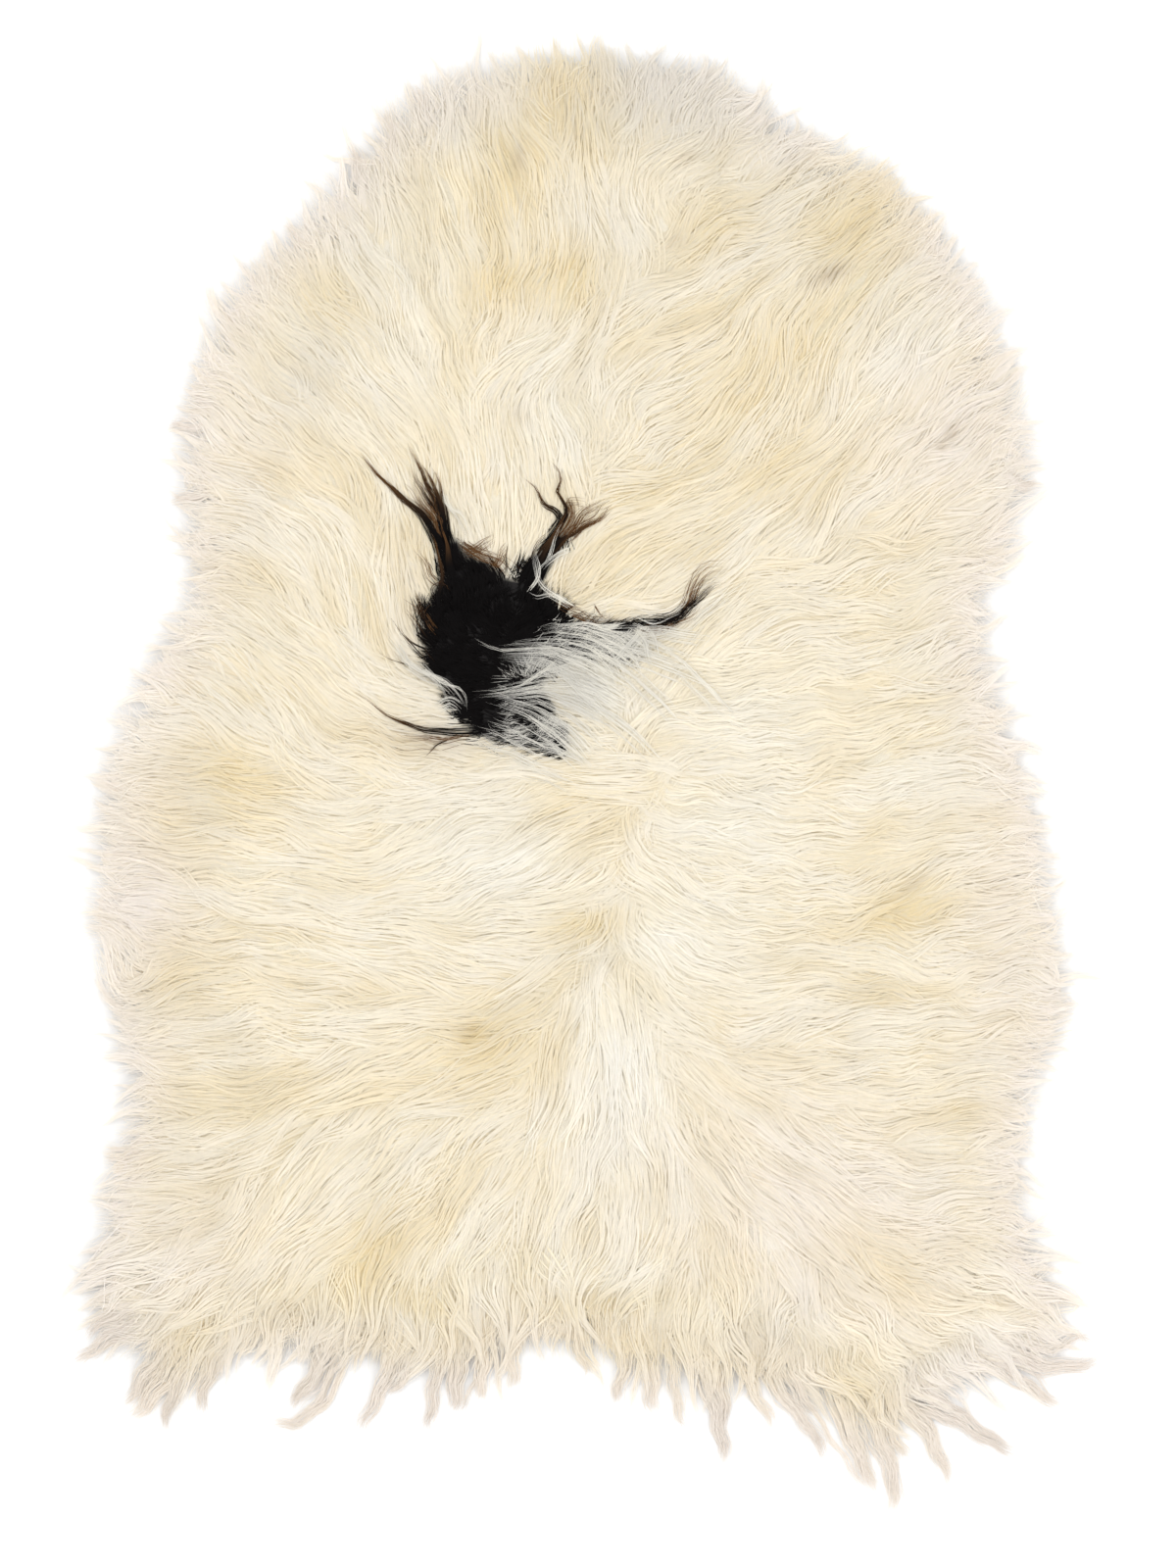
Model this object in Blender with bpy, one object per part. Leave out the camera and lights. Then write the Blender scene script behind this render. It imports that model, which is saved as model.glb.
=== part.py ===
"""A whole long-wool sheepskin, lying flat as a rug with its fleece up.

Metres, +Z up. +Y runs along the back towards the neck, +X to the right seen from above.
The origin is on the floor, under the middle of the skin's box.

The skin is one solid: a slab with a flat underside, a lumpy top and two rows of locks
at its rim. The locks follow the way the wool lies, and the lower row rests on the floor.
"""
import math
import random

import bmesh
import bpy
import numpy as np
from mathutils import Vector, geometry, kdtree, noise

NAME = "sheepskin"
SEED = 7

# Heights above the floor
PILE = 0.053  # the fleece over most of the back
RIM_TOP = 0.027  # the fleece just inside the rim
UPPER_ROOT_LOW = 0.015  # the upper locks' roots, up to RIM_TOP
LOWER_ROOT_TOP = 0.010  # the lower locks' roots, down to the floor

# Plan
SHOULDER = 0.085  # how far in from the rim the fleece reaches its full height
SHOULDER_FULL = 0.7  # under 1, the fleece rises faster just inside the rim
INSET = 0.024  # the slab's wall, inside the line where the fleece thins out
BULGE = 0.007  # how much further out the wall is at the floor than at its top
GRID = 0.0205  # between the points of the lumpy top
RIM_CLEAR = 0.014  # between those points and the rim

# Locks
LOCK_PITCH = 0.0225  # along the rim, from one lock to the next
LOCK_SHARE = 0.66  # of the pitch, the width of a lock's root
LOCK_SHARE_SPREAD = 0.15
LENGTH_SPREAD = 0.36  # a lock is this share longer or shorter than its stretch of rim says
SWAY = 0.34  # of a lock's length, how far it waves to one side
SWAY_GRAIN = 9.0  # how fast the sway changes along the rim, per metre
UPPER_SHORTER = 0.62  # an upper lock's length, as a share of the lower one's
TAPER = ((0.36, 0.86), (0.72, 0.55))  # share of the length, share of the root's width
LOCK_THIN = 0.62  # of the root's height, a lock's height at its last ring
UPPER_LIFT = 0.0015  # how far an upper lock's tip lies over its root's lower edge
TURN_START = 0.35  # how far a lock has already turned to the wool's lay at its root

# The unevenness of the top: rounded tufts with creases between them
TUFT_WIDTH = 0.046
TUFT_LENGTH = 0.110
TUFT_HEIGHT = 0.030  # of a tuft's crown over its creases, where the noise reaches 1
TUFT_LEVEL = 0.20  # the noise at which a tuft is level with the fleece around it

# Where the fleece thins out, clockwise from the neck. lay is the way the wool lies there, in
# degrees from +X towards +Y, and reach is how far the locks pass the line.
RIM = (
    # x, y, lay, reach
    (0.030, 0.560, 86, 0.010),
    (0.104, 0.545, 72, 0.010),
    (0.152, 0.509, 58, 0.010),
    (0.214, 0.486, 56, 0.012),
    (0.251, 0.450, 46, 0.014),
    (0.285, 0.405, 45, 0.016),
    (0.315, 0.355, 40, 0.020),
    (0.331, 0.287, 28, 0.018),
    (0.338, 0.226, 20, 0.016),
    (0.316, 0.175, 12, 0.012),
    (0.304, 0.122, 4, 0.012),
    (0.318, 0.062, 0, 0.014),
    (0.338, 0.004, -4, 0.014),
    (0.357, -0.080, -2, 0.014),
    (0.367, -0.160, -6, 0.014),
    (0.346, -0.235, -10, 0.014),
    (0.333, -0.310, -12, 0.016),
    (0.341, -0.375, -13, 0.018),
    (0.366, -0.430, -18, 0.024),
    (0.355, -0.477, -44, 0.040),
    (0.322, -0.510, -56, 0.040),
    (0.272, -0.525, -62, 0.044),
    (0.230, -0.520, -68, 0.044),
    (0.186, -0.501, -72, 0.040),
    (0.106, -0.490, -84, 0.046),
    (0.034, -0.465, -86, 0.034),
    (-0.036, -0.440, -96, 0.034),
    (-0.110, -0.464, -100, 0.038),
    (-0.180, -0.478, -106, 0.030),
    (-0.246, -0.474, -112, 0.036),
    (-0.290, -0.462, -122, 0.030),
    (-0.338, -0.474, -126, 0.034),
    (-0.374, -0.447, -150, 0.020),
    (-0.380, -0.400, -166, 0.026),
    (-0.371, -0.330, -170, 0.018),
    (-0.357, -0.262, -174, 0.018),
    (-0.363, -0.185, 178, 0.016),
    (-0.381, -0.100, 174, 0.016),
    (-0.378, -0.030, 172, 0.016),
    (-0.364, 0.042, 170, 0.014),
    (-0.330, 0.098, 166, 0.014),
    (-0.308, 0.160, 168, 0.014),
    (-0.311, 0.230, 168, 0.018),
    (-0.304, 0.302, 156, 0.016),
    (-0.274, 0.378, 138, 0.014),
    (-0.228, 0.424, 126, 0.014),
    (-0.186, 0.470, 122, 0.016),
    (-0.142, 0.522, 116, 0.014),
    (-0.076, 0.553, 104, 0.010),
    (-0.023, 0.560, 94, 0.010),
)

# The way the wool lies inside the rim: it parts along the spine and fans out at both ends.
LAY_INSIDE = (
    # x, y, lay
    (0.02, 0.42, 88),
    (0.14, 0.34, 48),
    (-0.14, 0.34, 128),
    (0.16, 0.18, 20),
    (-0.14, 0.18, 140),
    (0.16, -0.02, 0),
    (-0.16, -0.02, 176),
    (0.18, -0.22, -8),
    (-0.12, -0.22, -174),
    (0.05, -0.36, -80),
    (0.20, -0.38, -48),
    (-0.16, -0.38, -122),
)

# The larger rises and hollows of the fleece. turn is the long axis, in degrees from +X.
LUMPS = (
    # x, y, length, width, turn, rise
    (-0.02, 0.500, 0.20, 0.10, 5, 0.008),  # neck wool
    (0.085, 0.470, 0.10, 0.08, 40, 0.010),  # tousled curls beside it
    (0.195, 0.395, 0.16, 0.09, 60, 0.007),  # right shoulder
    (-0.190, 0.380, 0.16, 0.10, 130, 0.007),  # left shoulder
    (0.020, 0.310, 0.20, 0.05, 20, -0.011),  # the valley across the shoulders
    (0.180, 0.250, 0.20, 0.08, 15, 0.007),
    (-0.170, 0.230, 0.18, 0.09, 100, 0.006),
    (-0.060, 0.110, 0.14, 0.11, 60, -0.009),  # the dark patch, which lies lower
    (0.060, 0.070, 0.16, 0.07, -15, 0.009),  # the silver wool that sweeps over it
    (-0.230, 0.020, 0.22, 0.10, 80, 0.006),
    (0.230, 0.020, 0.20, 0.09, -70, 0.005),
    (0.245, -0.085, 0.09, 0.04, 20, -0.013),  # the crevice on the right flank
    (0.010, -0.110, 0.12, 0.04, 15, -0.008),  # the parting's crease
    (0.030, -0.180, 0.22, 0.14, 80, 0.006),
    (-0.095, -0.195, 0.10, 0.05, 30, -0.007),
    (0.160, -0.260, 0.20, 0.10, -20, 0.006),
    (-0.170, -0.250, 0.20, 0.10, 10, 0.006),
    (0.010, -0.360, 0.24, 0.10, 5, 0.012),  # the rump's overhanging wool
    (0.180, -0.390, 0.14, 0.09, -40, 0.009),
    (-0.168, -0.375, 0.12, 0.035, 80, -0.013),  # the valley beside the left haunch
    (-0.260, -0.360, 0.16, 0.10, 60, 0.007),  # left haunch
    (0.020, -0.432, 0.20, 0.05, 0, -0.010),  # under the rump's edge
)

WOOL = (0.92, 0.83, 0.66)
WOOL_ROUGHNESS = 0.95


def clear_scene():
    """Empties the file of its objects."""
    for obj in list(bpy.data.objects):
        bpy.data.objects.remove(obj)


def ease(share):
    """0 to 1, level at both ends."""
    share = min(max(share, 0.0), 1.0)
    return share * share * (3 - 2 * share)


def heading(degrees):
    """The level unit vector in a direction."""
    turn = math.radians(degrees)
    return Vector((math.cos(turn), math.sin(turn), 0.0))


def rim_curve():
    """A closed smooth curve through RIM, finely stepped: rows of x, y, lay x, lay y, reach."""
    steps = 24  # to each row
    rows = np.array([(x, y, *heading(lay).xy, reach) for x, y, lay, reach in RIM])
    before, after, beyond = (np.roll(rows, shift, axis=0) for shift in (1, -1, -2))
    spans = []
    for t in np.arange(steps) / steps:
        bend = 2 * before - 5 * rows + 4 * after - beyond
        twist = 3 * rows - before - 3 * after + beyond
        spans.append(rows + 0.5 * t * (after - before + t * (bend + t * twist)))
    return np.stack(spans, axis=1).reshape(-1, rows.shape[1])


def outward(loop):
    """The unit normals that point out of a clockwise loop."""
    along = np.roll(loop, -1, axis=0) - np.roll(loop, 1, axis=0)
    normal = np.stack([-along[:, 1], along[:, 0]], axis=1)
    return normal / np.linalg.norm(normal, axis=1, keepdims=True)


def rim_stations(rng):
    """The rim as stations, two to a lock: rows of x, y, lay x, lay y, reach, out x, out y."""
    curve = rim_curve()
    curve[:, :2] -= INSET * outward(curve[:, :2])
    closed = np.vstack([curve, curve[:1]])
    walked = np.cumsum(np.linalg.norm(np.diff(closed[:, :2], axis=0), axis=1))
    walked = np.concatenate([[0.0], walked])
    locks = round(walked[-1] / LOCK_PITCH)
    pitch = walked[-1] / locks
    places = []
    for i in range(locks):
        share = LOCK_SHARE + rng.uniform(-LOCK_SHARE_SPREAD, LOCK_SHARE_SPREAD)
        places += [i * pitch, (i + share) * pitch]
    rows = np.stack([np.interp(places, walked, column) for column in closed.T], axis=1)
    return np.hstack([rows, outward(rows[:, :2])])


def wool_lay():
    """A function that gives the way the wool lies at a place, as a level unit vector."""
    known = [(x, y, heading(lay)) for x, y, lay, _ in RIM]
    known += [(x, y, heading(lay)) for x, y, lay in LAY_INSIDE]

    def lay(x, y):
        total = Vector((0.0, 0.0, 0.0))
        for known_x, known_y, way in known:
            away = math.hypot(x - known_x, y - known_y, GRID)
            total += way / away**3
        return total.normalized()

    return lay


def lump_height(x, y):
    """The rise of the larger lumps at a place."""
    total = 0.0
    for lump_x, lump_y, length, width, turn, rise in LUMPS:
        away = Vector((x - lump_x, y - lump_y, 0.0))
        along = heading(turn)
        u = 2 * away.dot(along) / length
        v = 2 * away.dot(Vector((-along.y, along.x, 0.0))) / width
        total += rise * math.exp(-u * u - v * v)
    return total


def fleece_height(x, y, rim_gap, lay):
    """The top of the fleece at a place, rim_gap in from the rim."""
    rise = ease(rim_gap / SHOULDER) ** SHOULDER_FULL
    along = lay(x, y)
    across = Vector((-along.y, along.x, 0.0))
    place = Vector((x, y, 0.0))
    grain = Vector((place.dot(across) / TUFT_WIDTH, place.dot(along) / TUFT_LENGTH, 0.0))
    tufts = TUFT_HEIGHT * (abs(noise.noise(grain)) - TUFT_LEVEL)
    return RIM_TOP + rise * (PILE - RIM_TOP + lump_height(x, y) + tufts)


def lumpy_top(stations):
    """The open top of the fleece: a mesh whose rim vertices hold their station's number."""
    edge = [Vector(row[:2]) for row in stations]
    rim = kdtree.KDTree(len(edge))
    for i, point in enumerate(edge):
        rim.insert(point.to_3d(), i)
    rim.balance()
    low, high = np.min(stations[:, :2], axis=0), np.max(stations[:, :2], axis=0)
    row_step = GRID * math.sqrt(0.75)
    inside = []
    for row in range(int((high[1] - low[1]) / row_step)):
        for column in range(int((high[0] - low[0]) / GRID)):
            x = low[0] + (column + 0.5 * (row % 2)) * GRID
            y = low[1] + row * row_step
            if rim.find((x, y, 0.0))[2] > RIM_CLEAR:
                inside.append(Vector((x, y)))
    loop = list(range(len(edge)))
    points, _, faces, origins, _, _ = geometry.delaunay_2d_cdt(
        edge + inside, [], [loop], 1, 1e-6
    )
    bm = bmesh.new()
    station = bm.verts.layers.int.new("station")
    lay = wool_lay()
    for point, origin in zip(points, origins):
        x, y = point
        number = origin[0] if origin and origin[0] < len(edge) else -1
        gap = 0.0 if number >= 0 else rim.find((x, y, 0.0))[2]
        vert = bm.verts.new((x, y, fleece_height(x, y, gap, lay)))
        vert[station] = number
    bm.verts.ensure_lookup_table()
    for face in faces:
        bm.faces.new([bm.verts[i] for i in face])
    loose = [vert for vert in bm.verts if not vert.link_faces]
    bmesh.ops.delete(bm, geom=loose, context="VERTS")
    bmesh.ops.recalc_face_normals(bm, faces=bm.faces)
    if sum(face.normal.z for face in bm.faces) < 0:
        bmesh.ops.reverse_faces(bm, faces=bm.faces)
    return bm


def wall_band(bm, stations, height):
    """Extrudes the open rim down to a height. Returns the faces that locks grow from."""
    spread = BULGE * ease(1 - height / RIM_TOP)
    station = bm.verts.layers.int["station"]
    rim = [edge for edge in bm.edges if edge.is_boundary]
    made = bmesh.ops.extrude_edge_only(bm, edges=rim)["geom"]
    for vert in (item for item in made if isinstance(item, bmesh.types.BMVert)):
        x, y, *_, out_x, out_y = stations[vert[station]]
        vert.co = (x + spread * out_x, y + spread * out_y, height)
    roots = {}
    for face in (item for item in made if isinstance(item, bmesh.types.BMFace)):
        first, last = min(v[station] for v in face.verts), max(v[station] for v in face.verts)
        if first % 2 == 0 and last == first + 1:
            roots[first // 2] = face
    return roots


def grow_lock(bm, root, way, out, length, sway, tip_low):
    """Draws one wall face out into a four-sided lock that tapers to a point at tip_low.

    It leaves the wall along out and turns to way.
    """
    foot = root.calc_center_median()
    side = Vector((-out.y, out.x, 0.0))
    half = max(abs((v.co - foot).dot(side)) for v in root.verts)
    low, high = min(v.co.z for v in root.verts), max(v.co.z for v in root.verts)

    def spine(t):
        turned = out.lerp(way, ease(TURN_START + (1 - TURN_START) * t)).normalized()
        across = Vector((-turned.y, turned.x, 0.0))
        return foot + length * (t * turned + sway * math.sin(math.pi * t) * across), across

    face, middle, floor, ceiling = root, foot, low, high
    for t, width in TAPER:
        face = bmesh.ops.extrude_discrete_faces(bm, faces=[face])["faces"][0]
        point, across = spine(t)
        next_floor = low + (tip_low - low) * t
        height = (high - low) * (1 - (1 - LOCK_THIN) * t / TAPER[-1][0])
        for vert in face.verts:
            left = 1 if (vert.co - middle).dot(side) > 0 else -1
            top = vert.co.z > (floor + ceiling) / 2
            vert.co = point + across * left * half * width
            vert.co.z = next_floor + height * top
        middle, side = point, across
        floor, ceiling = next_floor, next_floor + height
    tip = bmesh.ops.poke(bm, faces=[face])["verts"][0]
    tip.co = spine(1.0)[0]
    tip.co.z = tip_low


def add_locks(bm, roots, stations, rng, share, tip_low):
    """Grows a lock on each of the faces, share times as long as its stretch of rim says."""
    for number, root in sorted(roots.items()):
        first, last = stations[2 * number], stations[2 * number + 1]
        x, y, way_x, way_y, reach, out_x, out_y = ((first + last) / 2).tolist()
        way = Vector((way_x, way_y, 0.0)).normalized()
        out = Vector((out_x, out_y, 0.0)).normalized()
        length = (INSET + reach) * share * (1 + LENGTH_SPREAD * rng.uniform(-1, 1))
        sway = SWAY * noise.noise(Vector((x, y, share)) * SWAY_GRAIN)
        grow_lock(bm, root, way, out, length, sway, tip_low)


def sheepskin():
    """The whole skin as one closed solid."""
    rng = random.Random(SEED)
    stations = rim_stations(rng)
    bm = lumpy_top(stations)
    upper = wall_band(bm, stations, UPPER_ROOT_LOW)
    wall_band(bm, stations, LOWER_ROOT_TOP)
    lower = wall_band(bm, stations, 0.0)
    rim = [edge for edge in bm.edges if edge.is_boundary]
    bmesh.ops.contextual_create(bm, geom=rim)
    add_locks(bm, lower, stations, rng, 1.0, 0.0)
    every_other = {number: face for number, face in upper.items() if number % 2}
    add_locks(bm, every_other, stations, rng, UPPER_SHORTER, UPPER_ROOT_LOW + UPPER_LIFT)
    bmesh.ops.recalc_face_normals(bm, faces=bm.faces)
    mesh = bpy.data.meshes.new(NAME)
    bm.to_mesh(mesh)
    bm.free()
    centre_on_floor(mesh)
    mesh.shade_smooth()
    return mesh


def centre_on_floor(mesh):
    """Moves the mesh so that the middle of its box is over the origin."""
    xs = [vert.co.x for vert in mesh.vertices]
    ys = [vert.co.y for vert in mesh.vertices]
    middle = Vector(((min(xs) + max(xs)) / 2, (min(ys) + max(ys)) / 2, 0.0))
    for vert in mesh.vertices:
        vert.co -= middle


def wool_material():
    """The fleece's main colour and finish."""
    material = bpy.data.materials.new("wool")
    material.use_nodes = True
    shader = material.node_tree.nodes["Principled BSDF"]
    shader.inputs["Base Color"].default_value = (*WOOL, 1.0)
    shader.inputs["Roughness"].default_value = WOOL_ROUGHNESS
    shader.inputs["Metallic"].default_value = 0.0
    return material


clear_scene()
rug = bpy.data.collections.new("sheepskin_rug")
bpy.context.scene.collection.children.link(rug)
skin = bpy.data.objects.new(NAME, sheepskin())
skin.data.materials.append(wool_material())
rug.objects.link(skin)
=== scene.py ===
import math

import bpy
import numpy as np
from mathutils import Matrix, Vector, noise
from mathutils.bvhtree import BVHTree
from mathutils.geometry import delaunay_2d_cdt


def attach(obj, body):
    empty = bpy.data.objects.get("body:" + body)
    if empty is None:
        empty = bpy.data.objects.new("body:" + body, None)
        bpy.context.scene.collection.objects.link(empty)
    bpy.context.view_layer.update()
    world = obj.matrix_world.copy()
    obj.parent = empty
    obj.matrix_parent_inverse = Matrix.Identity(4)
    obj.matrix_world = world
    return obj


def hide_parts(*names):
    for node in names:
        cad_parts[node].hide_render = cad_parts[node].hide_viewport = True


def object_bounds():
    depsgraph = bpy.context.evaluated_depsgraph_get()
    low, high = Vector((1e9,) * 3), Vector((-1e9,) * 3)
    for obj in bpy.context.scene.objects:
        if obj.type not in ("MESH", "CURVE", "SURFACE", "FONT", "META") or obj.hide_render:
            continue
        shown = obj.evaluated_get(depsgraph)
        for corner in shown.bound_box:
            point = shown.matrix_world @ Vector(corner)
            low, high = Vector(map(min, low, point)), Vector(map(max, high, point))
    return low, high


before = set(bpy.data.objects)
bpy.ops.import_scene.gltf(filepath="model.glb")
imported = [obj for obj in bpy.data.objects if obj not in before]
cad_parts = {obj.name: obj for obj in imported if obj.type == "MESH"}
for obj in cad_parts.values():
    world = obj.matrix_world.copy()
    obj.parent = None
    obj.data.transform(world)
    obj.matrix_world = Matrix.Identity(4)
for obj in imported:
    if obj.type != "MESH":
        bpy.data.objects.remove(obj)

cad_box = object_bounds()

# ---------------------------------------------------------------- hide
# One whole sheepskin, tanned with its fleece on. The hide is supple cream leather about 2 mm
# thick, trimmed at the neck, legs and tail, and it lies flesh side down on the floor.

CM = 0.01
PHOTO_MIDDLE = (0.0036, -0.0060)  # where the middle of the photograph falls in the frame, metres
HIDE_THICKNESS = 0.002
HIDE_INSET = 0.030  # from the line where the fleece thins out, in to the leather's edge
HIDE_NET = 0.022  # spacing of its mesh
HIDE_RIPPLE = 0.0006
LEATHER_DARK = (0.80, 0.66, 0.46, 1)
LEATHER_PALE = (0.87, 0.77, 0.60, 1)
LEATHER_NAP = (0.90, 0.82, 0.68, 1)
SUEDE_GRAINS, PATCH_GRAINS = 900.0, 14.0  # per metre
NAP_DEPTH = 0.0006
RIM_SPAN = 12  # points on the smooth rim line from one row of the table to the next
BATCH = 2000  # places measured at a time
SCATTER_MARGIN = 0.05
NET_JITTER, NET_CLEAR, NET_SEED = 0.2, 0.6, 5  # of a slab's mesh: shares of its spacing, and a seed

# The line where the dense fleece thins out, clockwise from the neck, and the way the wool lies
# there: x and y in cm from the middle of the photograph, degrees from the right, and how far the
# longest locks reach past the line, in cm.
RIM = (
    (3.0, 56.0, 86, 2.6), (10.4, 54.5, 72, 2.8), (15.2, 50.9, 58, 2.4), (21.4, 48.6, 56, 2.2),
    (25.1, 45.0, 46, 1.8), (28.5, 40.5, 45, 1.8), (31.5, 35.5, 40, 2.4), (33.1, 28.7, 28, 2.4),
    (33.8, 22.6, 20, 2.8), (31.6, 17.5, 12, 2.0), (30.4, 12.2, 4, 1.6), (31.8, 6.2, 0, 2.2),
    (33.8, 0.4, -4, 2.0), (35.7, -8.0, -2, 2.4), (36.7, -16.0, -6, 2.4), (34.6, -23.5, -10, 1.6),
    (33.3, -31.0, -12, 2.8), (34.1, -37.5, -13, 2.8), (36.4, -41.6, -18, 2.4),
    (35.0, -44.2, -40, 2.2), (31.2, -45.0, -54, 2.2), (27.2, -47.2, -62, 2.6),
    (23.0, -48.6, -68, 3.0), (18.0, -47.0, -72, 2.6), (13.6, -44.8, -78, 2.2),
    (10.2, -46.0, -84, 2.6), (3.4, -44.6, -86, 2.4), (-3.6, -43.2, -96, 2.0),
    (-11.0, -44.8, -100, 2.6), (-18.0, -44.4, -106, 2.3), (-24.6, -43.4, -112, 2.0),
    (-29.0, -44.4, -122, 2.4), (-33.4, -45.2, -126, 2.8), (-37.0, -42.4, -148, 2.3),
    (-38.0, -39.6, -166, 2.4),
    (-37.1, -33.0, -170, 2.4), (-35.7, -26.2, -174, 2.2), (-36.3, -18.5, 178, 1.8),
    (-38.1, -10.0, 174, 2.0), (-37.8, -3.0, 172, 2.2), (-36.4, 4.2, 170, 2.0),
    (-33.0, 9.8, 166, 2.0), (-30.8, 16.0, 168, 1.8), (-31.1, 23.0, 168, 2.6),
    (-30.4, 30.2, 156, 2.0), (-27.4, 37.8, 138, 2.2), (-22.8, 42.4, 126, 2.0),
    (-18.6, 47.0, 122, 2.4), (-14.2, 52.2, 116, 2.6), (-7.6, 55.3, 104, 2.6), (-2.3, 56.0, 94, 2.6),
)


def placed(rows):
    """x and y of each row of a table, from cm in the photograph to metres in the frame."""
    return np.array([row[:2] for row in rows], float) * CM + PHOTO_MIDDLE


def spline(before, here, after, later, t):
    """Places on a smooth line, at a share t of the way from here to after."""
    curve = 2 * here + (after - before) * t
    curve = curve + (2 * before - 5 * here + 4 * after - later) * t**2
    return (curve + (3 * here - before - 3 * after + later) * t**3) / 2


def closed_curve(points, per_span):
    """A smooth closed line through the points."""
    near = (np.roll(points, turn, 0) for turn in (1, 0, -1, -2))
    t = np.linspace(0.0, 1.0, per_span, endpoint=False)[:, None, None]
    return spline(*near, t).swapaxes(0, 1).reshape(-1, 2)


def inset(line, distance):
    """A clockwise closed line moved in by a distance."""
    along = np.roll(line, -2, 0) - np.roll(line, 2, 0)
    inward = np.stack((along[:, 1], -along[:, 0]), axis=1)
    return line + distance * inward / np.linalg.norm(inward, axis=1, keepdims=True)


def inside_distance(x, y, line):
    """How far each place lies inside a closed line, negative outside, all in metres."""
    ends = np.roll(line, -1, 0)
    run, rise = (ends - line).T
    slope = run / np.where(rise == 0, 1e-9, rise)
    distance = np.empty(len(x))
    for start in range(0, len(x), BATCH):
        px, py = x[start:start + BATCH, None], y[start:start + BATCH, None]
        near = np.hypot(px - line[:, 0], py - line[:, 1]).min(axis=1)
        spans = (line[:, 1] > py) != (ends[:, 1] > py)
        crossed = spans & (px < line[:, 0] + slope * (py - line[:, 1]))
        distance[start:start + BATCH] = np.where(crossed.sum(axis=1) % 2 == 1, near, -near)
    return distance


def scatter(spacing, jitter, seed, line, least, most=1.0):
    """Places on a jittered triangular grid that lie between two distances inside the line."""
    rng = np.random.default_rng(seed)
    low, high = line.min(0) - SCATTER_MARGIN, line.max(0) + SCATTER_MARGIN
    rows = np.arange(low[1], high[1], spacing * math.sqrt(3) / 2)
    columns = np.arange(low[0], high[0], spacing)
    x, y = np.meshgrid(columns, rows)
    x = x + spacing / 2 * (np.arange(len(rows))[:, None] % 2)
    spots = np.stack((x.ravel(), y.ravel()), axis=1)
    spots += rng.uniform(-jitter, jitter, spots.shape) * spacing
    depth = inside_distance(spots[:, 0], spots[:, 1], line)
    return spots[(depth > least) & (depth < most)]


def add_object(name, data):
    """A new object in the scene."""
    thing = bpy.data.objects.new(name, data)
    bpy.context.scene.collection.objects.link(thing)
    return thing


def fit(piece):
    """The piece lies with the skin's one body, and stands for its solid, which is hidden."""
    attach(piece, "root")
    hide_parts("sheepskin")


def slab(name, line, spacing, bottom, top):
    """A closed sheet inside the line, with bottom and top as functions of x and y."""
    lengths = np.linalg.norm(np.roll(line, -1, 0) - line, axis=1)
    reach = np.concatenate(([0.0], np.cumsum(lengths)))
    stops = np.linspace(0.0, reach[-1], int(reach[-1] / spacing), endpoint=False)
    looped = np.vstack((line, line[:1]))
    edge = np.stack([np.interp(stops, reach, looped[:, axis]) for axis in (0, 1)], axis=1)
    inner = scatter(spacing, NET_JITTER, NET_SEED, edge, spacing * NET_CLEAR)
    loop = [(i, (i + 1) % len(edge)) for i in range(len(edge))]
    net = [Vector(spot) for spot in np.vstack((edge, inner))]
    found, _, faces, *_ = delaunay_2d_cdt(net, loop, [], 1, 1e-6)
    flat = np.array([tuple(v) for v in found])
    count = len(flat)
    sides = [(f[i], f[(i + 1) % len(f)]) for f in faces for i in range(len(f))]
    taken = set(sides)
    walls = [(a, a + count, b + count, b) for a, b in sides if (b, a) not in taken]
    upper = np.column_stack((flat, top(flat[:, 0], flat[:, 1])))
    lower = np.column_stack((flat, bottom(flat[:, 0], flat[:, 1])))
    over = [tuple(f) for f in faces]
    under = [tuple(i + count for i in reversed(f)) for f in faces]
    mesh = bpy.data.meshes.new(name)
    mesh.from_pydata(np.vstack((upper, lower)).tolist(), [], over + under + walls)
    mesh.shade_smooth()
    return add_object(name, mesh)


def feed(tree, source, socket):
    """Links a socket, or sets a plain value."""
    if isinstance(source, bpy.types.NodeSocket):
        tree.links.new(source, socket)
    else:
        socket.default_value = source


def settle(node, **values):
    """Sets sockets of a node to plain values: Sheen_Weight stands for Sheen Weight."""
    for name, value in values.items():
        node.inputs[name.replace("_", " ")].default_value = value


def add(tree, kind, **settings):
    """A new shader node with its settings."""
    node = tree.nodes.new("ShaderNode" + kind)
    for key, value in settings.items():
        setattr(node, key, value)
    return node


def mixed(tree, factor, first, second):
    """One colour mixed into another."""
    node = add(tree, "Mix", data_type="RGBA")
    for slot, source in ((0, factor), (6, first), (7, second)):
        feed(tree, source, node.inputs[slot])
    return node.outputs[2]


def eased(tree, value, low, high):
    """A value taken smoothly from 0 at low to 1 at high."""
    node = add(tree, "MapRange", interpolation_type="SMOOTHSTEP")
    feed(tree, value, node.inputs["Value"])
    settle(node, From_Min=low, From_Max=high)
    return node.outputs["Result"]


def grains(tree, scale, detail):
    """A noise over the piece, in places per metre."""
    where = add(tree, "TexCoord")
    node = add(tree, "TexNoise")
    feed(tree, where.outputs["Object"], node.inputs["Vector"])
    settle(node, Scale=scale, Detail=detail)
    return node.outputs["Fac"]


def new_material(name):
    """A material with its Principled shader linked, and its node tree."""
    material = bpy.data.materials.new(name)
    material.use_nodes = True
    return material, material.node_tree, material.node_tree.nodes["Principled BSDF"]


def roughen(tree, shader, height, strength, distance):
    """Raises the surface by a pattern, as a bump."""
    bump = add(tree, "Bump")
    settle(bump, Strength=strength, Distance=distance)
    feed(tree, height, bump.inputs["Height"])
    feed(tree, bump.outputs["Normal"], shader.inputs["Normal"])


rim_line = closed_curve(placed(RIM), RIM_SPAN)
hide_line = inset(rim_line, HIDE_INSET)


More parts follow.
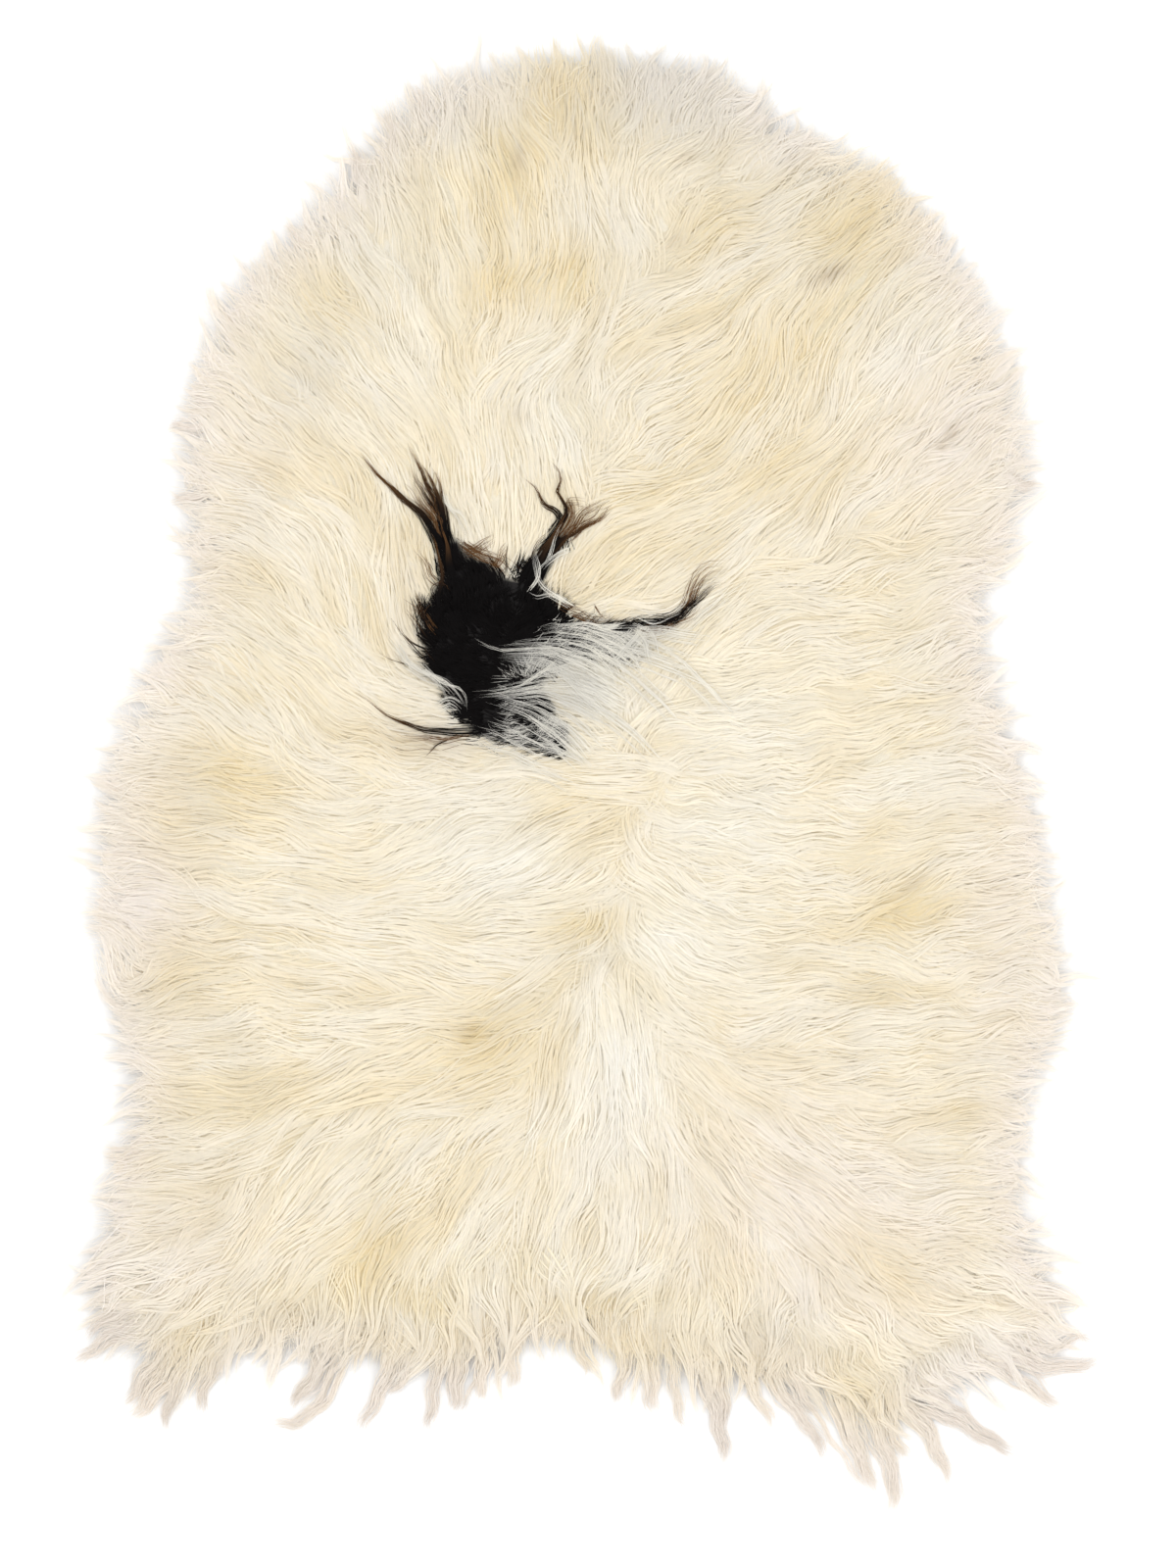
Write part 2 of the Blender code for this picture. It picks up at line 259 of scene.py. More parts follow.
def hide_ripple(x, y):
    """The leather's low waves, which lift it slightly off the floor."""
    return HIDE_RIPPLE * (1 + np.sin(x * 38 + 2 * np.sin(y * 17)) * np.sin(y * 31 + x * 12))


hide = slab(
    "hide", hide_line, HIDE_NET, hide_ripple, lambda x, y: hide_ripple(x, y) + HIDE_THICKNESS,
)
leather, tree, shader = new_material("tanned_hide")
suede = grains(tree, SUEDE_GRAINS, 4.0)
patches = grains(tree, PATCH_GRAINS, 3.0)
colour = mixed(tree, eased(tree, patches, 0.35, 0.7), LEATHER_DARK, LEATHER_PALE)
colour = mixed(tree, eased(tree, suede, 0.3, 0.8), colour, LEATHER_NAP)
feed(tree, colour, shader.inputs["Base Color"])
settle(shader, Roughness=0.85, Sheen_Weight=0.2)
roughen(tree, shader, suede, 0.35, NAP_DEPTH)
hide.data.materials.append(leather)
fit(hide)

# ---------------------------------------------------------------- underwool
# The short dense wool next to the hide, which holds the long hair up: a lumpy cream mat 30 to
# 50 mm thick that shows only at the partings and between the locks. It grows from the hide.

CELL = 0.005  # of the grid that the fleece is measured on
GRID_MARGIN = 0.09
SLAB_EDGE = 0.026  # this far in from the rim line, the fleece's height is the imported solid's
SKIRT = (  # and outside that, how high the fleece stands: distance in from the rim line, height
    (-0.10, 0.0015), (-0.05, 0.0025), (-0.024, 0.005), (-0.010, 0.010), (0.0, 0.0155),
    (0.014, 0.0235), (0.026, 0.028),
)
UNDERWOOL_INSET = 0.025
UNDERWOOL_DEPTH = 0.0028  # below the top of the long wool
UNDERWOOL_NET = 0.008
UNDERWOOL_LUMP = 0.0005
LUMPS = 90  # per metre
LOCK_RELIEF = 0.0014  # how much the locks of the long wool stand above the hollows between them
LOCK_WIDTH, LOCK_LENGTH = 3, 7  # in cells of the grid
DRIFT_WIDTH, DRIFT_LENGTH = 14, 12  # of the broad warm and pale drifts in the wool's colour
UNDERWOOL_FOOT = 0.0015
FLEECE_LEAST = 0.02  # height of the fleece within the rim, where the solid has a crease
FULL_HEIGHT = 0.04  # at which the locks stand out in full
# Painted shade with a pink tint: near the rim line the wool is mixed towards pinkish beige.
RIM_SHADE_AND_BLUSH, RIM_SHADE_AND_BLUSH_WIDTH = 0.85, 0.05
PATCH_BLUR = 0.006  # over which the mat turns black
WARMTH = 0.12  # how far the warm drifts go towards the colour of a stain
MOTTLE_GRAINS, TUFT_GRAINS = 260.0, 420.0  # per metre

# The way the wool lies: x and y in cm from the photograph's middle, and degrees from the right.
LAY = (
    (-3.0, 56.1, 92), (-11.4, 53.8, 100), (-18.2, 48.4, 112), (-22.8, 42.4, 108),
    (-26.6, 39.3, 125), (-28.9, 34.8, 125), (-32.7, 27.9, 160), (-10.6, 47.7, 98),
    (-5.3, 46.9, 116), (-3.0, 45.4, 96), (0.0, 46.9, 98), (-14.1, 43.9, 110),
    (-5.3, 37.1, 62), (-9.1, 39.3, 100), (-10.6, 34.8, 110), (-22.0, 34.8, 138),
    (-25.8, 30.2, 134), (-15.2, 27.9, 132), (-4.6, 32.5, 38), (0.0, 38.6, 80),
    (3.8, 56.8, 84), (9.1, 55.3, 62), (12.9, 53.0, 38), (7.6, 47.7, 42), (3.0, 42.4, 112),
    (12.2, 44.3, 22), (19.8, 48.1, 24), (20.5, 44.7, 42), (16.0, 40.9, 30), (19.0, 38.6, 55),
    (7.6, 37.1, 14), (3.8, 34.0, 32), (7.6, 32.5, 26), (13.7, 33.3, 78), (16.7, 31.0, 72),
    (23.6, 34.8, 60), (28.1, 39.3, 30), (31.2, 34.8, 32), (25.1, 28.7, 50), (32.7, 28.7, 35),
    (6.1, 27.9, 36), (12.2, 27.9, 58), (0.0, 28.7, 112),
    (-26.6, 26.4, 136), (-31.9, 22.6, 172), (-19.0, 25.7, 136), (-27.4, 21.1, 166),
    (-22.0, 21.1, 146), (-19.0, 16.5, 106), (-15.2, 19.6, 96), (-16.0, 13.5, 102),
    (-7.6, 24.1, 98), (-1.5, 24.9, 108), (-28.1, 13.5, 160), (-23.6, 10.5, 142),
    (-33.4, 10.5, 164), (-27.4, 5.9, 142), (-22.8, 5.1, 122), (-35.7, 2.1, 164),
    (-31.9, 0.6, 177), (-26.6, -1.0, 170), (-17.5, 2.9, 166), (-11.4, -0.2, 178),
    (3.8, 21.9, 14), (7.6, 19.6, 24), (3.0, 16.5, 36), (15.2, 24.1, 28), (17.5, 21.1, 60),
    (12.9, 18.1, 46), (22.8, 24.1, 46), (30.4, 22.6, 35), (22.8, 18.1, 14), (28.9, 15.4, 16),
    (15.2, 14.3, 4), (22.0, 12.0, -4), (25.1, 9.7, 40), (30.4, 10.5, 18), (9.1, 13.5, 40),
    (-0.8, 8.2, 162), (6.1, 8.2, 48), (9.1, 5.9, 4), (16.7, 2.1, 14), (19.8, 7.4, -4),
    (24.3, 1.3, 18), (30.4, 6.7, 10), (30.4, 0.6, -6), (7.6, -2.5, -6), (16.7, -2.5, -12),
    (24.3, -3.2, 4), (1.5, -0.2, 176),
    (-9.1, 15.0, 112), (-4.6, 15.0, 66), (-7.6, 10.5, 150), (-9.9, 7.4, 170), (-5.3, 4.4, 184),
    (-3.0, 11.2, 10), (3.8, 12.0, 8),
    (-35.7, -7.8, 174), (-28.1, -5.5, 177), (-21.3, -5.5, 170), (-12.9, -4.8, 232),
    (-15.2, -7.8, 186), (-9.1, -7.4, 204), (-5.3, -4.0, 202), (0.0, -4.0, 206),
    (-23.6, -9.3, 166), (-32.7, -15.8, 206), (-36.5, -13.9, 120), (-27.4, -15.4, 180),
    (-22.0, -16.1, 170), (-13.7, -13.1, 166), (-6.8, -13.1, 172), (-0.8, -11.6, 194),
    (-9.9, -16.9, 162), (-6.8, -18.4, 214), (-12.9, -21.1, 190), (-29.6, -20.0, 186),
    (-30.4, -24.1, 170), (-19.8, -25.3, 204), (-8.4, -25.3, 198), (-2.3, -22.2, 260),
    (3.0, -18.4, 276), (6.1, -8.6, -34), (4.6, -13.1, -42), (10.6, -7.8, -2),
    (16.7, -10.8, 0), (25.1, -7.8, 34), (29.6, -6.3, 18), (34.2, -9.3, 14),
    (24.3, -13.9, -24), (31.2, -13.9, 8), (7.6, -16.9, -18), (14.4, -18.4, 16),
    (22.8, -17.7, 10), (30.4, -20.7, 2), (3.8, -23.0, 274), (8.4, -21.9, -42),
    (15.2, -22.2, 0), (25.1, -23.8, 4), (12.9, -25.7, -32), (21.3, -26.8, -2),
    (30.4, -28.3, 0), (16.0, -29.1, -36), (10.6, -30.6, -54), (4.6, -29.8, -78),
    (-0.8, -29.8, 250), (-7.6, -30.6, 238), (-13.7, -30.6, 226), (-19.0, -29.1, 222),
    (-24.3, -31.7, 246), (-31.9, -30.6, 186), (-37.2, -30.6, 184), (22.0, -30.2, -20),
    (26.6, -33.3, 12), (32.7, -32.9, -6),
    (-34.2, -34.4, 194), (-35.7, -41.6, 204), (-20.5, -35.2, 208), (-25.1, -37.4, 226),
    (-28.9, -41.2, 240), (-33.1, -46.6, 250), (-22.8, -41.2, 238), (-19.0, -38.9, 258),
    (-16.7, -41.2, 270), (-12.2, -35.9, 238), (-9.9, -41.2, 290), (-4.6, -38.9, 262),
    (-20.5, -46.6, 222), (-13.7, -46.6, 250), (-7.6, -45.0, 264), (0.0, -42.8, 294),
    (2.3, -38.9, 230), (7.6, -35.9, 256), (6.8, -41.2, 252), (4.6, -45.8, 266),
    (10.6, -48.1, 274), (12.9, -37.4, -70), (15.2, -44.3, -78), (19.0, -33.6, -44),
    (22.0, -40.5, -44), (19.8, -48.5, -12), (16.7, -48.8, -58), (22.0, -52.6, -62),
    (28.1, -39.7, -20), (33.4, -41.2, -6), (27.4, -51.1, -38), (31.9, -45.8, -24),
    (37.2, -45.8, 4),
)
LAY_SOFTNESS = 0.018  # how gradually one direction gives way to the next, metres

# Where the wool is stained or shaded: x, y, length and width in cm, turn in degrees, strength.
STAINS = (  # yellow and tan
    (-1.9, 53.4, 6, 4, 90, 0.6), (-6.0, 46.5, 7, 4, 60, 0.5), (-1.9, 39.0, 4, 3, 0, 0.7),
    (-6.5, 38.6, 3, 3, 0, 0.7), (-19.8, 37.4, 4, 2.5, 140, 0.4), (9.9, 42.8, 4, 2, 30, 0.5),
    (20.9, 43.5, 6, 4, 60, 0.55), (15.2, 24.1, 5, 2.5, 20, 0.45), (4.6, 22.6, 6, 2, 20, 0.35),
    (15.0, 33.0, 10, 4, 40, 0.45), (-27.4, -0.2, 5, 3.5, 150, 0.5), (-1.5, -2.3, 3, 2, 0, 0.4),
    (0.0, -11.2, 4, 1.4, 10, 0.6), (-9.0, -19.6, 1.6, 1.0, 40, 1.0), (-7.6, -20.7, 5, 3.5, 20, 0.6),
    (24.3, -9.8, 4, 2, 20, 0.7), (-31.9, -3.2, 4, 3, 160, 0.4), (-31.9, -15.4, 4, 3, 20, 0.45),
    # The first two below are painted shade: in a hollow between locks, and under the rump's ridge.
    (-17.1, -37.3, 5, 1.8, 70, 0.7), (-12.9, -40.5, 4, 2, 150, 0.6), (0.0, -40.9, 9, 2, 5, 0.45),
    (22.8, -37.1, 5, 3, -30, 0.4), (20.9, -47.3, 5, 3, -40, 0.5), (-30.4, -43.5, 5, 3, 50, 0.45),
    (-12.0, -43.5, 10, 3, 0, 0.35), (3.4, -44.0, 9, 3, 0, 0.45), (12.0, -45.5, 7, 3, 0, 0.35),
    (-25.0, -42.0, 8, 3, 20, 0.3),
)
FLECKS = (  # brown and grey-brown
    (-5.3, 48.1, 1.4, 0.5, 80, 0.3), (7.6, 48.1, 0.9, 0.5, 30, 0.25), (6.8, 41.6, 0.7, 0.5, 0, 0.3),
    (18.6, 39.1, 1.6, 0.5, 20, 0.45), (-5.3, 28.1, 0.9, 0.5, 0, 0.2),
    (28.2, 27.0, 0.5, 0.25, 60, 0.8), (27.4, 26.0, 0.4, 0.25, 0, 0.6),
    (24.9, -8.2, 1.6, 0.4, 35, 0.3), (-9.2, -19.4, 0.7, 0.4, 30, 0.4),
    (-12.5, 3.4, 4.0, 1.4, 0, 0.22), (-13.4, 12.5, 1.6, 5.0, 0, 0.12),
)
BLEACHED = (  # nearly white
    (-12.9, 40.1, 7, 5, 100, 0.3), (-14.4, 32.5, 7, 5, 120, 0.2), (-1.5, 28.7, 6, 4, 80, 0.4),
    (-7.6, -5.9, 8, 5, 170, 0.6), (3.0, -23.0, 9, 5, 90, 0.7), (7.2, -11.6, 7, 5, 0, 0.6),
    (3.8, 5.9, 6, 4, 20, 0.3), (4.6, 42.4, 4, 4, 0, 0.2),
    (12.0, 6.0, 6, 6, 0, 0.45), (11.5, -3.0, 6, 5, 0, 0.6), (25.5, 33.0, 5, 5, 0, 0.5),
    (-38.0, 2.0, 5, 9, 0, 0.5), (24.0, 0.0, 8, 4, 0, 0.2),
)
BLUSHED = (  # pinkish beige
    (19.0, -34.4, 16, 10, -30, 0.7), (30.4, 27.9, 10, 8, 30, 0.7), (-36.0, -8.0, 16, 6, 90, 0.9),
    (33.0, -10.0, 20, 5, 90, 0.5), (-30.0, 30.0, 12, 6, 110, 0.5), (-33.0, -38.0, 10, 8, 70, 0.5),
)
# The shade spots are painted shade: greyer wool, most where the fleece stands up at the neck.
SHADED = (  # greyer, where the fleece stands up at the neck and thins out
    (3.0, 55.5, 13, 3.5, 0, 0.7), (6.5, 53.0, 9, 4.5, -15, 0.6), (-10.6, 53.0, 6, 4, 50, 0.35),
    (-15.5, 46.0, 8, 4, 65, 0.2), (16.0, 48.5, 8, 3, -40, 0.3), (12.5, 43.0, 9, 6, -20, 0.25),
    (3.0, 41.0, 9, 7, 0, 0.2), (-20.0, 31.0, 5, 6, 30, 0.25), (-9.0, 8.0, 6, 9, 0, 0.25),
)

# The outline of the black patch behind the neck, in pixels of the photograph.
PATCH = (
    (438, 692), (432, 655), (434, 630), (442, 608), (451, 590), (448, 565), (444, 545), (453, 532),
    (461, 547), (478, 564), (505, 581), (528, 594), (545, 568), (562, 545), (578, 546), (564, 572),
    (552, 594), (562, 610), (584, 640), (636, 642), (644, 656), (630, 678), (596, 668), (578, 672),
    (566, 690), (554, 704), (562, 722), (578, 748), (566, 768), (500, 755), (476, 747),
    (470, 724), (456, 706),
)
PIXEL = 0.00076  # metres of the skin in one pixel of the photograph
PHOTO_CENTRE = (600.0, 797.5)  # pixels


def from_pixels(points):
    """Places in the frame, in metres, of pixels of the photograph."""
    points = np.array(points, float).reshape(-1, 2) - PHOTO_CENTRE
    return points * (PIXEL, -PIXEL) + PHOTO_MIDDLE


grid_low = rim_line.min(0) - GRID_MARGIN
grid_count = np.ceil((rim_line.max(0) + GRID_MARGIN - grid_low) / CELL).astype(int) + 1
grid_x, grid_y = np.meshgrid(
    grid_low[0] + CELL * np.arange(grid_count[0]), grid_low[1] + CELL * np.arange(grid_count[1])
)


def read_grid(field, x, y):
    """The field's value at each place, between the grid's points."""
    column = np.clip((x - grid_low[0]) / CELL, 0, grid_count[0] - 1.001)
    row = np.clip((y - grid_low[1]) / CELL, 0, grid_count[1] - 1.001)
    i, j = column.astype(int), row.astype(int)
    u, v = column - i, row - j
    near = field[j, i] * (1 - u) + field[j, i + 1] * u
    far = field[j + 1, i] * (1 - u) + field[j + 1, i + 1] * u
    return near * (1 - v) + far * v


def softened(field, times):
    """The field with its corners rounded off."""
    for _ in range(times):
        field = (np.roll(field, 1, 0) + 2 * field + np.roll(field, -1, 0)) / 4
        field = (np.roll(field, 1, 1) + 2 * field + np.roll(field, -1, 1)) / 4
    return field


def solid_height():
    """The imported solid's height over each point of the grid."""
    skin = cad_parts["sheepskin"].data
    tree = BVHTree.FromPolygons([v.co for v in skin.vertices], [p.vertices for p in skin.polygons])
    down, start = Vector((0, 0, -1)), cad_box[1][2] + 0.01
    height = np.zeros(grid_x.size)
    for i, (x, y) in enumerate(zip(grid_x.ravel(), grid_y.ravel())):
        hit = tree.ray_cast(Vector((x, y, start)), down)[0]
        height[i] = hit.z if hit else 0.0
    return height.reshape(grid_x.shape)


def spots(rows):
    """A mask on the grid of soft oval spots."""
    mask = np.zeros(grid_x.shape)
    for (x, y), (_, _, length, width, turn, strength) in zip(placed(rows), rows):
        c, s = math.cos(math.radians(turn)), math.sin(math.radians(turn))
        dx, dy = grid_x - x, grid_y - y
        far = ((dx * c + dy * s) / (length * CM)) ** 2 + ((dy * c - dx * s) / (width * CM)) ** 2
        mask = np.maximum(mask, strength * np.exp(-far * 1.2))
    return mask


def lay_field():
    """The direction that the wool lies in, as two fields on the grid."""
    rows = np.vstack((placed(LAY), placed(RIM)))
    turns = np.radians([row[2] for row in LAY] + [row[2] for row in RIM])
    east, north = np.zeros(grid_x.shape), np.zeros(grid_x.shape)
    for (x, y), turn in zip(rows, turns):
        weight = ((grid_x - x) ** 2 + (grid_y - y) ** 2 + LAY_SOFTNESS**2) ** -2
        east += weight * math.cos(turn)
        north += weight * math.sin(turn)
    size = np.hypot(east, north)
    return east / size, north / size


def drawn_out(seed, width, length):
    """A soft random pattern on the grid that is drawn out along the lay of the wool."""
    pattern = softened(np.random.default_rng(seed).normal(0, 1, grid_x.shape), width)
    total = pattern.copy()
    for way in (-CELL, CELL):
        x, y = grid_x, grid_y
        for _ in range(length):
            x, y = x + way * read_grid(lay_east, x, y), y + way * read_grid(lay_north, x, y)
            total = total + read_grid(pattern, x, y)
    return total / total.std()


from_rim = inside_distance(grid_x.ravel(), grid_y.ravel(), rim_line).reshape(grid_x.shape)
skirt = np.interp(from_rim, [row[0] for row in SKIRT], [row[1] for row in SKIRT])
fleece_top = np.where(from_rim > SLAB_EDGE, np.maximum(solid_height(), FLEECE_LEAST), skirt)
fleece_top = softened(fleece_top, 3)
lay_east, lay_north = lay_field()
lock_relief = drawn_out(6, LOCK_WIDTH, LOCK_LENGTH)
drift = drawn_out(7, DRIFT_WIDTH, DRIFT_LENGTH)
fleece_top += LOCK_RELIEF * lock_relief * np.clip(fleece_top / FULL_HEIGHT, 0, 1)
patch_line = from_pixels(PATCH)
in_patch = inside_distance(grid_x.ravel(), grid_y.ravel(), patch_line).reshape(grid_x.shape)
# Painted shade: the wool is greyer and pinker towards the rim line.
rim_shade_and_blush = RIM_SHADE_AND_BLUSH * np.clip(1 - from_rim / RIM_SHADE_AND_BLUSH_WIDTH, 0, 1)
masks = {
    "stain": spots(STAINS), "fleck": spots(FLECKS), "shade": spots(SHADED),
    "bleach": spots(BLEACHED), "blush": np.maximum(spots(BLUSHED), rim_shade_and_blush),
    # Painted shade in the hollows between the locks.
    "hollow_shade": np.clip(-0.5 * lock_relief, 0, 0.8), "warm": np.clip(0.5 * drift, 0, 1),
}


def mark(mesh, name, values):
    """Stores a value on each point of the mesh, for its material to read."""
    stored = mesh.attributes.new(name, "FLOAT", "POINT")
    stored.data.foreach_set("value", values.astype(np.float32))


def mark_tints(mesh, x, y):
    """Stores at each point how stained, flecked, bleached and blushed the wool is, and its painted
    shade.
    """
    for name, mask in masks.items():
        mark(mesh, name, read_grid(mask, x, y))


def underwool_top(x, y):
    """The mat's upper side: a little below the long wool, with lumps."""
    lumps = np.array([noise.noise(Vector((px * LUMPS, py * LUMPS, 0.0))) for px, py in zip(x, y)])
    over = read_grid(fleece_top, x, y)
    return over - np.minimum(UNDERWOOL_DEPTH + UNDERWOOL_LUMP * lumps, 0.5 * over)


# The root's colour doubles as painted shade, and the grey shade colour is painted shade.
CREAM = {
    "Root": (0.91, 0.84, 0.67, 1), "Body": (0.945, 0.905, 0.81, 1), "Tip": (0.96, 0.94, 0.87, 1),
    "Stain": (0.88, 0.78, 0.53, 1), "Fleck": (0.50, 0.38, 0.22, 1),
    "Bleach": (0.955, 0.94, 0.895, 1), "Blush": (0.925, 0.88, 0.83, 1),
    "Shade": (0.82, 0.79, 0.735, 1), "Ink": (0.012, 0.010, 0.010, 1),
    "Rust": (0.16, 0.085, 0.045, 1),
}


def reckon(tree, operation, first, second):
    """One value worked out from two."""
    node = add(tree, "Math", operation=operation)
    feed(tree, first, node.inputs[0])
    feed(tree, second, node.inputs[1])
    return node.outputs[0]


def tint_group():
    """The colours of wool along a hair, with its stains and painted shade, as one node group."""
    group = bpy.data.node_groups.new("wool_tint", "ShaderNodeTree")
    for name in CREAM:
        group.interface.new_socket(name, in_out="INPUT", socket_type="NodeSocketColor")
    group.interface.new_socket("Variation", in_out="INPUT", socket_type="NodeSocketFloat")
    group.interface.new_socket("Color", in_out="OUTPUT", socket_type="NodeSocketColor")
    group.interface.new_socket("Roughness", in_out="OUTPUT", socket_type="NodeSocketFloat")
    given = group.nodes.new("NodeGroupInput").outputs

    def read(name):
        return add(group, "Attribute", attribute_name=name).outputs["Fac"]

    def times(first, second):
        return reckon(group, "MULTIPLY", first, second)

    def plus(first, second):
        return reckon(group, "ADD", first, second)

    def centred(value):
        return reckon(group, "SUBTRACT", value, 0.5)

    along, strand, lock = read("along"), read("strand"), read("lock")
    streak = plus(times(strand, 0.9), 0.55)
    colour = mixed(group, eased(group, along, 0.05, 0.35), given["Root"], given["Body"])
    colour = mixed(group, eased(group, along, 0.55, 1.0), colour, given["Tip"])
    # Painted shade: deep hairs and hairs in the hollows between locks take the root's colour.
    colour = mixed(group, times(read("depth"), 0.6), colour, given["Root"])
    colour = mixed(group, times(read("hollow_shade"), streak), colour, given["Root"])
    colour = mixed(group, times(read("warm"), WARMTH), colour, given["Stain"])
    colour = mixed(group, times(eased(group, lock, 0.35, 1.0), 0.5), colour, given["Root"])
    for name in ("bleach", "blush", "shade", "stain", "fleck"):
        share = times(read(name), streak)
        share.node.use_clamp = True
        colour = mixed(group, share, colour, given[name.capitalize()])
    for name in ("ink", "rust"):
        colour = mixed(group, read(name), colour, given[name.capitalize()])
    swing = plus(times(strand, 0.6), times(lock, 0.4))
    swing = times(centred(swing), given["Variation"])
    mottle = times(centred(grains(group, MOTTLE_GRAINS, 2.0)), 0.08)
    level = plus(plus(swing, mottle), 1.0)
    tone = add(group, "HueSaturation")
    feed(group, level, tone.inputs["Value"])
    feed(group, colour, tone.inputs["Color"])
    out = group.nodes.new("NodeGroupOutput")
    feed(group, tone.outputs["Color"], out.inputs["Color"])
    feed(group, plus(times(strand, 0.2), 0.5), out.inputs["Roughness"])
    return group


wool_tint = tint_group()


def wool_material(name, tints, variation, sheen, through):
    """Wool in the given colours: soft and slightly silky, and hair lets some light through."""
    material, tree, shader = new_material(name)
    tint = add(tree, "Group", node_tree=wool_tint)
    settle(tint, **tints, Variation=variation)
    feed(tree, tint.outputs["Color"], shader.inputs["Base Color"])
    feed(tree, tint.outputs["Roughness"], shader.inputs["Roughness"])
    settle(shader, Specular_IOR_Level=0.25, Sheen_Weight=sheen, Sheen_Roughness=0.4)
    lit_through = add(tree, "BsdfTranslucent")
    feed(tree, tint.outputs["Color"], lit_through.inputs["Color"])
    both = add(tree, "MixShader")
    for slot, source in enumerate((through, shader.outputs["BSDF"], lit_through.outputs["BSDF"])):
        feed(tree, source, both.inputs[slot])
    feed(tree, both.outputs["Shader"], tree.nodes["Material Output"].inputs["Surface"])
    return material, tree, shader


underwool = slab(
    "underwool", inset(rim_line, UNDERWOOL_INSET), UNDERWOOL_NET,
    lambda x, y: np.full(len(x), UNDERWOOL_FOOT), underwool_top,
)
wool_points = np.empty(len(underwool.data.vertices) * 3)
underwool.data.vertices.foreach_get("co", wool_points)
wool_points = wool_points.reshape(-1, 3)
mark_tints(underwool.data, wool_points[:, 0], wool_points[:, 1])
# The mat lies under the long wool: full depth paints it in the root's colour, as shade.
for name, level in (("along", 0.25), ("strand", 0.5), ("lock", 0.5), ("depth", 1.0)):
    mark(underwool.data, name, np.full(len(wool_points), level))
inked = read_grid(in_patch, *wool_points.T[:2]) / PATCH_BLUR + 0.5
mark(underwool.data, "ink", np.clip(inked, 0, 1))
matted, tree, shader = wool_material("matted_wool", CREAM, variation=0.1, sheen=0.1, through=0.3)
roughen(tree, shader, grains(tree, TUFT_GRAINS, 5.0), strength=0.8, distance=0.002)
underwool.data.materials.append(matted)
fit(underwool)

# ---------------------------------------------------------------- long wool
# The coat: locks of long silky hair 8 to 12 cm long that lie over each other like thatch, the
# way the sheep was combed, and part along the back. Each lock is a few tufts drawn to points.

# Where the wool is wavy: x, y and radius in cm, and the height of the waves in mm.
WAVES = (
    (-28.0, -14.0, 9, 2.4), (-12.2, -5.0, 7, 3.6), (24.0, 10.0, 8, 3.2), (24.0, -14.0, 7, 3.0),
    (16.5, -3.2, 7, 2.6), (11.0, 47.5, 8, 4.2), (-1.5, 28.7, 6, 3.4), (-6.5, 37.0, 6, 3.2),
    (21.0, -47.0, 8, 3.6), (-18.0, 30.0, 8, 2.6),
)
CALM_WAVE = 1.2  # elsewhere, mm
WAVE_LENGTH = 0.056

PATH_STEPS = 16  # along each lock
MIDDLE_STEP = PATH_STEPS // 2  # where its anchor is
MOST_SWING = 0.22  # radians that a lock turns in one step of its path
OPPOSED = 2.0  # radians: past a parting, where the wool lies the other way, a lock keeps its way
BEHIND = 0.42  # the share of a lock's length that is behind its anchor
HAIR_LEAN = 16.0  # degrees, how far a hair's flatter side may lean
COAT_TAPER = (0, 0.25, 0.6, 0.85, 1.0), (0.8, 1.0, 0.95, 0.6, 0.1)  # share of the way, of the width
LOWEST, LOW_SPREAD = 0.0012, 0.003  # how near the floor the hairs at the rim come to rest
# Painted shade: this deep under the top of the fleece, a hair is all in the root's colour.
FULL_SHADE = 0.003  # under the top of the fleece, where a hair has its root's colour
PATCH_SINK = 0.008  # over which the long wool goes down under the black
LOCK_JITTER = 0.42  # share of the locks' spacing
MAP_EDGE = 0.1  # of its own square of the map, left free round a hair


def wave_field():
    """How high the waves in the wool are, in metres, on the grid."""
    height, total = CALM_WAVE, 1.0
    for (x, y), (_, _, radius, high) in zip(placed(WAVES), WAVES):
        weight = 4.0 * np.exp(-1.5 * ((grid_x - x) ** 2 + (grid_y - y) ** 2) / (radius * CM) ** 2)
        height, total = height + weight * high, total + weight
    return height / total / 1000


def stream_field():
    """How far along the lay each place is, in metres, so that waves run on from lock to lock."""
    across, up = (2j * math.pi * np.fft.fftfreq(n, CELL) for n in grid_x.shape[::-1])
    across, up = np.meshgrid(across, up)
    size = across**2 + up**2
    size[0, 0] = 1.0
    return np.fft.ifft2((across * np.fft.fft2(lay_east) + up * np.fft.fft2(lay_north)) / size).real


def reach_field():
    """How far the longest locks reach past the rim line, in metres, on the grid."""
    reach, total = np.zeros(grid_x.shape), np.zeros(grid_x.shape)
    for (x, y), row in zip(placed(RIM), RIM):
        weight = ((grid_x - x) ** 2 + (grid_y - y) ** 2 + LAY_SOFTNESS**2) ** -2
        reach, total = reach + weight * row[3] * CM, total + weight
    return reach / total


wave_height = wave_field()
wave_phase = 2 * math.pi * stream_field() / WAVE_LENGTH + 1.2 * drift
rim_reach = reach_field()


